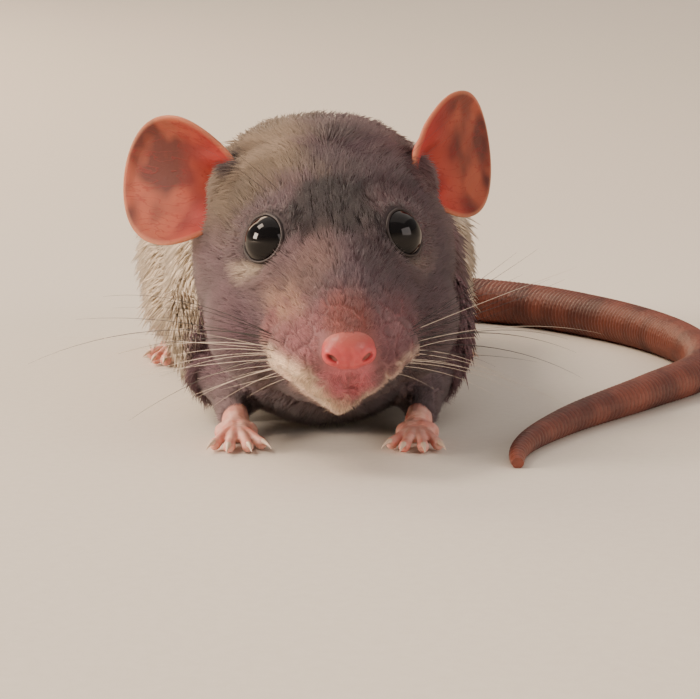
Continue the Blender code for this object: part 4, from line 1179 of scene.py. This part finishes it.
def makeEar(word):
    rings, around = 18, 88
    shares = np.concatenate([[0.0], np.repeat(np.arange(1, rings + 1) / rings, around)]) ** 0.9
    turns = np.concatenate([[0.0], np.tile(2 * math.pi * np.arange(around) / around, rings)])
    here, facing = earSheet(word, shares, turns)
    step = 0.01
    wider = np.maximum(shares, 0.05)
    outwards = earSheet(word, shares + step, turns)[0] - earSheet(word, wider - step, turns)[0]
    sideways = earSheet(word, wider, turns + step)[0] - earSheet(word, wider, turns)[0]
    normals = unit(np.cross(sideways, outwards))
    normals[0] = facing
    normals *= np.sign(normals @ facing)[:, None]
    root = np.maximum(0, -np.cos(turns)) * shares
    half = earForm["thick"] / 2 * (1 + 1.3 * root) * np.where(shares > 0.995, 0.35, 1.0)
    sheet = [(0, 1 + k, 1 + (k + 1) % around) for k in range(around)]
    sheet += [tuple(i + 1 for i in face) for face in grid(rings, around, True)]
    count = len(here)
    faces = sheet + [tuple(i + count for i in reversed(face)) for face in sheet]
    rim = 1 + (rings - 1) * around
    for k in range(around):
        n = rim + (k + 1) % around
        faces.append((rim + k, n, n + count, rim + count + k))
    points = np.vstack([here + normals * half[:, None], here - normals * half[:, None]])
    ear = newObject(f"ear_leaf_{word}", toMetres(points), faces)
    store(ear.data, "share", "FLOAT", np.tile(shares, 2).astype(np.float32))
    store(ear.data, "low", "FLOAT", np.tile(-np.cos(turns) * shares, 2).astype(np.float32))
    store(ear.data, "cross", "FLOAT", np.tile(np.sin(turns) * shares, 2).astype(np.float32))
    shape = bmesh.new()
    shape.from_mesh(ear.data)
    bmesh.ops.recalc_face_normals(shape, faces=shape.faces)
    shape.to_mesh(ear.data)
    shape.free()
    return ear


def earMaterial():
    made = plainMaterial(
        "thin ear skin lit from behind", "#a04a34", 0.64, Specular_IOR_Level=0.3,
        Subsurface_Weight=0.3, Subsurface_Radius=(1.5, 0.45, 0.22), Subsurface_Scale=0.0008,
    )
    tree = made.node_tree
    space, low = objectSpace(tree), attribute(tree, "low")
    # patches some 5 mm across
    patches = mapped(tree, noiseOf(tree, space, 190.0, 1.5), 0.40, 0.58)
    tone = mixed(tree, patches, "#9a4e39", "#5a2c26")
    tone = mixed(tree, mapped(tree, low, -0.10, 0.70), tone, "#a5302b")
    # veins run out from the root: thin level lines of a noise that is stretched that way
    leaf = addNode(tree, "ShaderNodeCombineXYZ", {0: attribute(tree, "cross"), 1: low}).outputs[0]
    links = {0: leaf, 1: (5.5, 1.7, 1.0)}
    leaf = addNode(tree, "ShaderNodeVectorMath", links, operation="MULTIPLY").outputs[0]
    level = mathNode(tree, "SUBTRACT", noiseOf(tree, leaf, 1.0, 3.0, Roughness=0.45), 0.5)
    vein = mapped(tree, mathNode(tree, "ABSOLUTE", level), 0.0, 0.020, 0.55, 0.0)
    tone = mixed(tree, vein, tone, "#7d211d")
    # painted highlight: the rim is painted paler, as light catching the thin edge
    edge = mapped(tree, attribute(tree, "share"), 0.94, 1.0, 0.0, 0.6)
    tone = mixed(tree, edge, tone, "#c98f6e")
    height = mathNode(tree, "ADD", noiseOf(tree, space, 2200.0, 3.0), vein)
    return paintShader(made, tone, height, 0.35, 0.00012)


thinEar = earMaterial()
for word in ("right", "left"):
    finished(makeEar(word), thinEar, "ear_red", f"ear_{word}")
print("ears set")


# Whiskers, and the tree that gives any set of lines a tapering round body.
def strandTree():
    tree, given = newTree("taperedStrands", "Hairs", (
        ("Strands", "Geometry", None), ("Root radius", "Float", 0.0001), ("Tip share", "Float", 0.15),
        ("Sides", "Int", 4), ("Material", "Material", None),
    ))
    along = addNode(tree, "GeometryNodeSplineParameter").outputs["Factor"]
    share = mapped(tree, along, 0.0, 1.0, 1.0, given["Tip share"])
    own = addNode(tree, "GeometryNodeInputRadius").outputs[0]
    radius = mathNode(tree, "MULTIPLY", mathNode(tree, "MULTIPLY", share, own), given["Root radius"])
    sweepOut(tree, given, keep(tree, given["Strands"], "along", "FLOAT", along), radius, "Hairs")
    return tree


def makeStrands(name, lines, radii, tree, slotName, inputs):  # radii: one number a line, or one a point
    data = bpy.data.curves.new(name, "CURVE")
    data.dimensions = "3D"
    for line, radius in zip(lines, radii):
        spline = data.splines.new("POLY")
        spline.points.add(len(line) - 1)
        spline.points.foreach_set("co", np.hstack([toMetres(line), np.ones((len(line), 1))]).ravel())
        spline.points.foreach_set("radius", np.zeros(len(line)) + radius)
    host = bpy.data.objects.new(name + "_line", data)
    bpy.context.scene.collection.objects.link(host)
    mesh = treeResult(host, tree, inputs)
    bpy.data.objects.remove(host)
    liftAboveFloor(mesh)
    made = bpy.data.objects.new(name, mesh)
    bpy.context.scene.collection.objects.link(made)
    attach(made, "root")
    return made


def skinTree(obj):
    mesh = obj.data
    return BVHTree.FromPolygons([v.co.copy() for v in mesh.vertices], [tuple(p.vertices) for p in mesh.polygons])


def surfaceAt(tree, target, way):  # where a line from outside, coming in along -way, meets the skin
    origin = Vector(toMetres(target + way * 25))
    hit = tree.ray_cast(origin, -Vector(way))
    return toDesign(np.array(hit[0])) if hit[0] is not None else None


def bentHair(root, way, bend, length, points):
    t = np.linspace(0, 1, points)[:, None]
    return root + unit(way) * (length * t - 0.5 * (1 - t)) + bend * length * t**2


def whiskerLines():
    draw = np.random.default_rng(12)
    surface = skinTree(skin)
    dark, pale = ([], []), ([], [])
    for side in (-1, 1):
        out = np.array([side, 0, 0]) @ headAxes
        for row, column, back, up in whiskerRoots():
            down, rear = row / (whiskerFacts["rows"] - 1), column / (whiskerFacts["columns"] - 1)
            root = surfaceAt(surface, atHead(0, back, up), out)
            if root is None:
                continue
            length = whiskerFacts["short"] + (whiskerFacts["long"] - whiskerFacts["short"]) * rear**0.9
            length *= draw.uniform(0.7, 1.15) * (1 - 0.25 * abs(down - 0.45))
            rise = (0.36 if side > 0 else 0.30) - 0.66 * down + draw.uniform(-0.13, 0.13)
            way = np.array([side, 0.30 + 0.30 * rear + draw.uniform(-0.12, 0.12), rise]) @ headAxes
            droop = whiskerFacts["droop"] * draw.uniform(0.3, 1.5)
            bend = np.array([0.0, 0.26, -droop * (0.25 if side > 0 and down < 0.5 else 0.8)]) @ headAxes
            group = pale if draw.random() < 0.05 + 0.85 * down**1.5 else dark
            group[0].append(bentHair(root, way, bend, length, whiskerFacts["points"]))
            group[1].append((0.55 + 0.45 * rear) * (0.8 if group is pale else 1.0))
        for across, back, up, length, lift in whiskerFacts["others"]:
            aim = np.array([side * (0.35 if up > 5 else 1.0), -0.1, 1.0 if up > 5 else 0.0])
            root = surfaceAt(surface, atHead(across * side, back, up), unit(aim) @ headAxes)
            if root is not None:
                way = np.array([side * 0.8, 0.25, lift]) @ headAxes
                dark[0].append(bentHair(root, way, np.array([0.1 * side, 0.3, -0.2]) @ headAxes, length, 10))
                dark[1].append(0.5)
    for line in dark[0] + pale[0]:
        line[:, 2] = np.maximum(line[:, 2], 0.4)
    return dark, pale


darkHair = plainMaterial("dark whisker hair", "#241a1a", 0.42)
paleHair = plainMaterial("pale whisker hair", "#cdbfae", 0.40)
strands = strandTree()
darkLines, paleLines = whiskerLines()
radius = whiskerFacts["radius"] * mm
for name, lines, look in (("whiskers_dark", darkLines, darkHair), ("whiskers_pale", paleLines, paleHair)):
    hairs = makeStrands(name, *lines, strands, "whisker", {"Root radius": radius, "Material": look})
    if name == "whiskers_dark":
        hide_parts("whisker_pad_left", "whisker_pad_right")
print("whiskers set")


# Paws: bare pink palms and toes built of overlapping rounds under one fine skin.
def roundsAlong(path, radii, step=0.3):
    rounds = []
    for (start, end), (first, last) in zip(zip(path[:-1], path[1:]), zip(radii[:-1], radii[1:])):
        count = max(2, math.ceil(np.linalg.norm(end - start) / step))
        rounds += [(start + (end - start) * t, first + (last - first) * t) for t in np.linspace(0, 1, count)]
    return rounds


def turned(way, degrees):
    t = math.radians(degrees)
    return np.array([way[0] * math.cos(t) - way[1] * math.sin(t), way[0] * math.sin(t) + way[1] * math.cos(t), 0.0])


def digitRounds(start, way, length, radius):
    high = (start[2], radius * 1.75, radius * 1.35, radius * 0.98)
    places = [start * (1, 1, 0) + way * length * t + (0, 0, h) for t, h in zip((0, 0.36, 0.72, 1.0), high)]
    return roundsAlong(places, [radius * s for s in (1.0, 0.86, 0.78, 0.92)]), places[-1]


def makePaw(name, rounds, voxel=0.17):
    shape = bmesh.new()
    for centre, radius in rounds:
        place = Matrix.Translation(Vector(toMetres(centre)))
        bmesh.ops.create_icosphere(shape, subdivisions=2, radius=radius * mm, matrix=place)
    paw = bpy.data.objects.new(name, bpy.data.meshes.new(name))
    shape.to_mesh(paw.data)
    shape.free()
    bpy.context.scene.collection.objects.link(paw)
    voxelSkin(paw, voxel, 5)
    largestOnly(paw.data)
    liftAboveFloor(paw.data)
    return paw


def withDigits(rounds, heading, facts, starts):  # adds the digits, and gives their tips for the claws
    tips = []
    for spread, length, start in zip(facts["spread"], facts["length"], starts):
        way = turned(heading, spread)
        start = start + way * facts["start"]
        start[2] = facts["height"]
        more, tip = digitRounds(start, way, length, facts["radius"])
        rounds += more
        tips.append((tip, way, facts["radius"]))
    return rounds, tips


def handRounds(side):
    root = handRoot(side)
    heading = turned(np.array([0.0, -1.0, 0.0]), -handFacts["turn"] * side)
    wrist = [root + heading * reach - (0, 0, down) for reach, down in handFacts["wrist"]]
    rounds = roundsAlong([root + (0, 3.0, 1.2)] + wrist, handFacts["wristRadii"])
    centre = root + heading * handFacts["reach"]
    centre[2] = handFacts["palmHeight"]
    across = np.array([-heading[1], heading[0], 0.0])
    for aside, forward, size in handFacts["palm"]:
        lift = (0, 0, size * 0.95 - handFacts["palmHeight"])
        rounds.append((centre + across * aside + heading * forward + lift, size))
    return withDigits(rounds, heading, handFacts, [centre] * len(handFacts["spread"]))


def footRounds(side):
    heel, front = (beside((*footFacts[key], 0.0), side) for key in ("heel", "ball"))
    heading = unit(front - heel)
    path = [heel + (front - heel) * t for t in (0, 0.5, 1)]
    for place, radius in zip(path, footFacts["radii"]):
        place[2] = radius * 0.80
    rounds = roundsAlong(path, [r * footFacts["drawn"] for r in footFacts["radii"]])
    across = np.array([-heading[1], heading[0], 0.0])
    rounds += [(front + across * x - heading * abs(x) * 0.5 + (0, 0, 1.5), 1.5) for x in (-1.4, -0.7, 0.7, 1.4)]
    return withDigits(rounds, heading, footFacts, [front - heading * back for back in footFacts["back"]])


def clawLines(tips):
    lines = []
    for tip, way, radius in tips:
        t = np.linspace(0, 1, 7)[:, None]
        start = tip + way * radius * 0.35 + (0, 0, radius * 0.35)
        lift = np.array([0, 0, 1.0]) * (0.18 * t - 0.85 * radius * t**2)
        lines.append(start + way * (clawFacts["length"] + 0.5) * t + lift)
    return lines


def pawMaterial():
    made = plainMaterial(
        "bare pink paw skin", "#dba294", 0.46,
        Subsurface_Weight=0.3, Subsurface_Radius=(1.0, 0.35, 0.2), Subsurface_Scale=0.0008,
    )
    tree = made.node_tree
    space = objectSpace(tree)
    tone = mixed(tree, mapped(tree, noiseOf(tree, space, 500.0), 0.35, 0.65), "#e3b1a3", "#cf8577")
    # fine rings of skin across the toes, about 0.35 mm apart
    links = {"Vector": space, "Scale": 900.0, "Distortion": 6.0, "Detail": 2.0}
    wrinkle = addNode(tree, "ShaderNodeTexWave", links, bands_direction="Y").outputs["Fac"]
    return paintShader(made, tone, wrinkle, 0.3, 0.0001)


pawSkin = pawMaterial()
horn = plainMaterial("translucent claw horn", "#d9c3ae", 0.30, Coat_Weight=0.4, Coat_Roughness=0.15)
claw = {"Root radius": clawFacts["radius"] * mm, "Tip share": 0.12, "Sides": 8, "Material": horn}
for side, word in ((-1, "right"), (1, "left")):
    for name, node, maker in (("hand", "forepaw", handRounds), ("foot", "hindfoot", footRounds)):
        rounds, tips = maker(side)
        finished(makePaw(f"{name}_{word}", rounds), pawSkin, "skin_pink", f"{node}_{word}")
        lines = clawLines(tips)
        makeStrands(f"claws_{name}_{word}", lines, [1.0] * len(lines), strands, "claw", claw)
print("paws set")


# Tail: a long taper ringed with rows of scales, each ring overlapping the next.
tailFacts = {
    "length": 184.0, "rootRadius": 4.4, "tipRadius": 0.6, "taper": 0.62, "pitch": 0.95, "sides": 22,
    "route": (
        (-8.3, 126.0, 4.6), (-5.6, 132.6, 2.4), (2.0, 138.0, 0.7), (15.0, 138.0, 0), (31.0, 127.0, 0),
        (42.5, 109.0, 0), (48.8, 91.0, 0), (50.5, 73.5, 0), (47.4, 58.0, 0), (37.6, 43.0, 0),
        (24.8, 25.0, 0), (18.0, 10.0, 0), (19.5, -4.0, 0), (26.0, -14.0, 0),
    ),
}


def smoothBetween(rows, steps):
    rows = np.array(rows, float)
    padded = np.vstack([2 * rows[0] - rows[1], rows, 2 * rows[-1] - rows[-2]])
    out = []
    for i in range(1, len(padded) - 2):
        p, q, r, s = padded[i - 1 : i + 3]
        for t in np.linspace(0, 1, steps, endpoint=False):
            bend = (2 * p - 5 * q + 4 * r - s) * t**2
            out.append(0.5 * (2 * q + (r - p) * t + bend + (3 * q - p - 3 * r + s) * t**3))
    return np.array(out + [rows[-1]])


def tailLine(count):
    dense = smoothBetween(tailFacts["route"], 12)
    travelled = np.concatenate([[0], np.cumsum(np.linalg.norm(np.diff(dense, axis=0), axis=1))])
    t = np.linspace(0, 1, count)
    x, y, lift = (np.interp(tailFacts["length"] * t, travelled, dense[:, k]) for k in range(3))
    span = tailFacts["rootRadius"] - tailFacts["tipRadius"]
    radii = tailFacts["tipRadius"] + span * (1 - t) ** tailFacts["taper"]
    return np.stack([x, y, radii - 0.02 + lift], axis=1), radii


def tailTree():
    tree, given = newTree("tailRings", "Tail", (
        ("Line", "Geometry", None), ("Ring pitch", "Float", 0.00095), ("Ring height", "Float", 0.07),
        ("Sides", "Int", 20), ("Material", "Material", None),
    ))
    links = {"Curve": given["Line"], "Length": mathNode(tree, "DIVIDE", given["Ring pitch"], 4.0)}
    line = addNode(tree, "GeometryNodeResampleCurve", links, mode="LENGTH").outputs[0]
    travelled = addNode(tree, "GeometryNodeSplineParameter").outputs["Length"]
    rings = mathNode(tree, "DIVIDE", travelled, given["Ring pitch"])
    rise = mathNode(tree, "MULTIPLY", mathNode(tree, "FRACT", rings), given["Ring height"])
    own = addNode(tree, "GeometryNodeInputRadius").outputs[0]
    radius = mathNode(tree, "ADD", own, mathNode(tree, "MULTIPLY", own, rise))
    sweepOut(tree, given, keep(tree, line, "ringNumber", "FLOAT", rings), radius, "Tail")
    return tree


def tailMaterial():
    made = plainMaterial("ringed scaly tail skin", "#8f5340", 0.5, Specular_IOR_Level=0.4)
    tree = made.node_tree
    space = objectSpace(tree)
    phase = mathNode(tree, "FRACT", attribute(tree, "ringNumber"))
    groove = mapped(tree, phase, 0.0, 0.3, 0.55, 1.0)
    patches = mapped(tree, noiseOf(tree, space, 130.0, 3.0), 0.38, 0.62)
    tone = scaledBy(tree, mixed(tree, patches, "#7f4638", "#5a322b"), groove)
    # scales about 0.5 mm wide within each ring
    cells = addNode(tree, "ShaderNodeTexVoronoi", {"Vector": space, "Scale": 1800.0}).outputs["Distance"]
    return paintShader(made, tone, cells, 0.5, 0.0002)


line, radii = tailLine(400)
given = {"Ring pitch": tailFacts["pitch"] * mm, "Sides": tailFacts["sides"], "Material": tailMaterial()}
tail = makeStrands("tail", [line], [radii * mm], tailTree(), "tail_brown", given)
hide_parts(*(f"tail_{n}" for n in range(1, 7)))
print("tail set", len(tail.data.polygons))

total = sum(len(p.vertices) - 2 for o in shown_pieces() for p in o.data.polygons)
print("triangles in all", total)
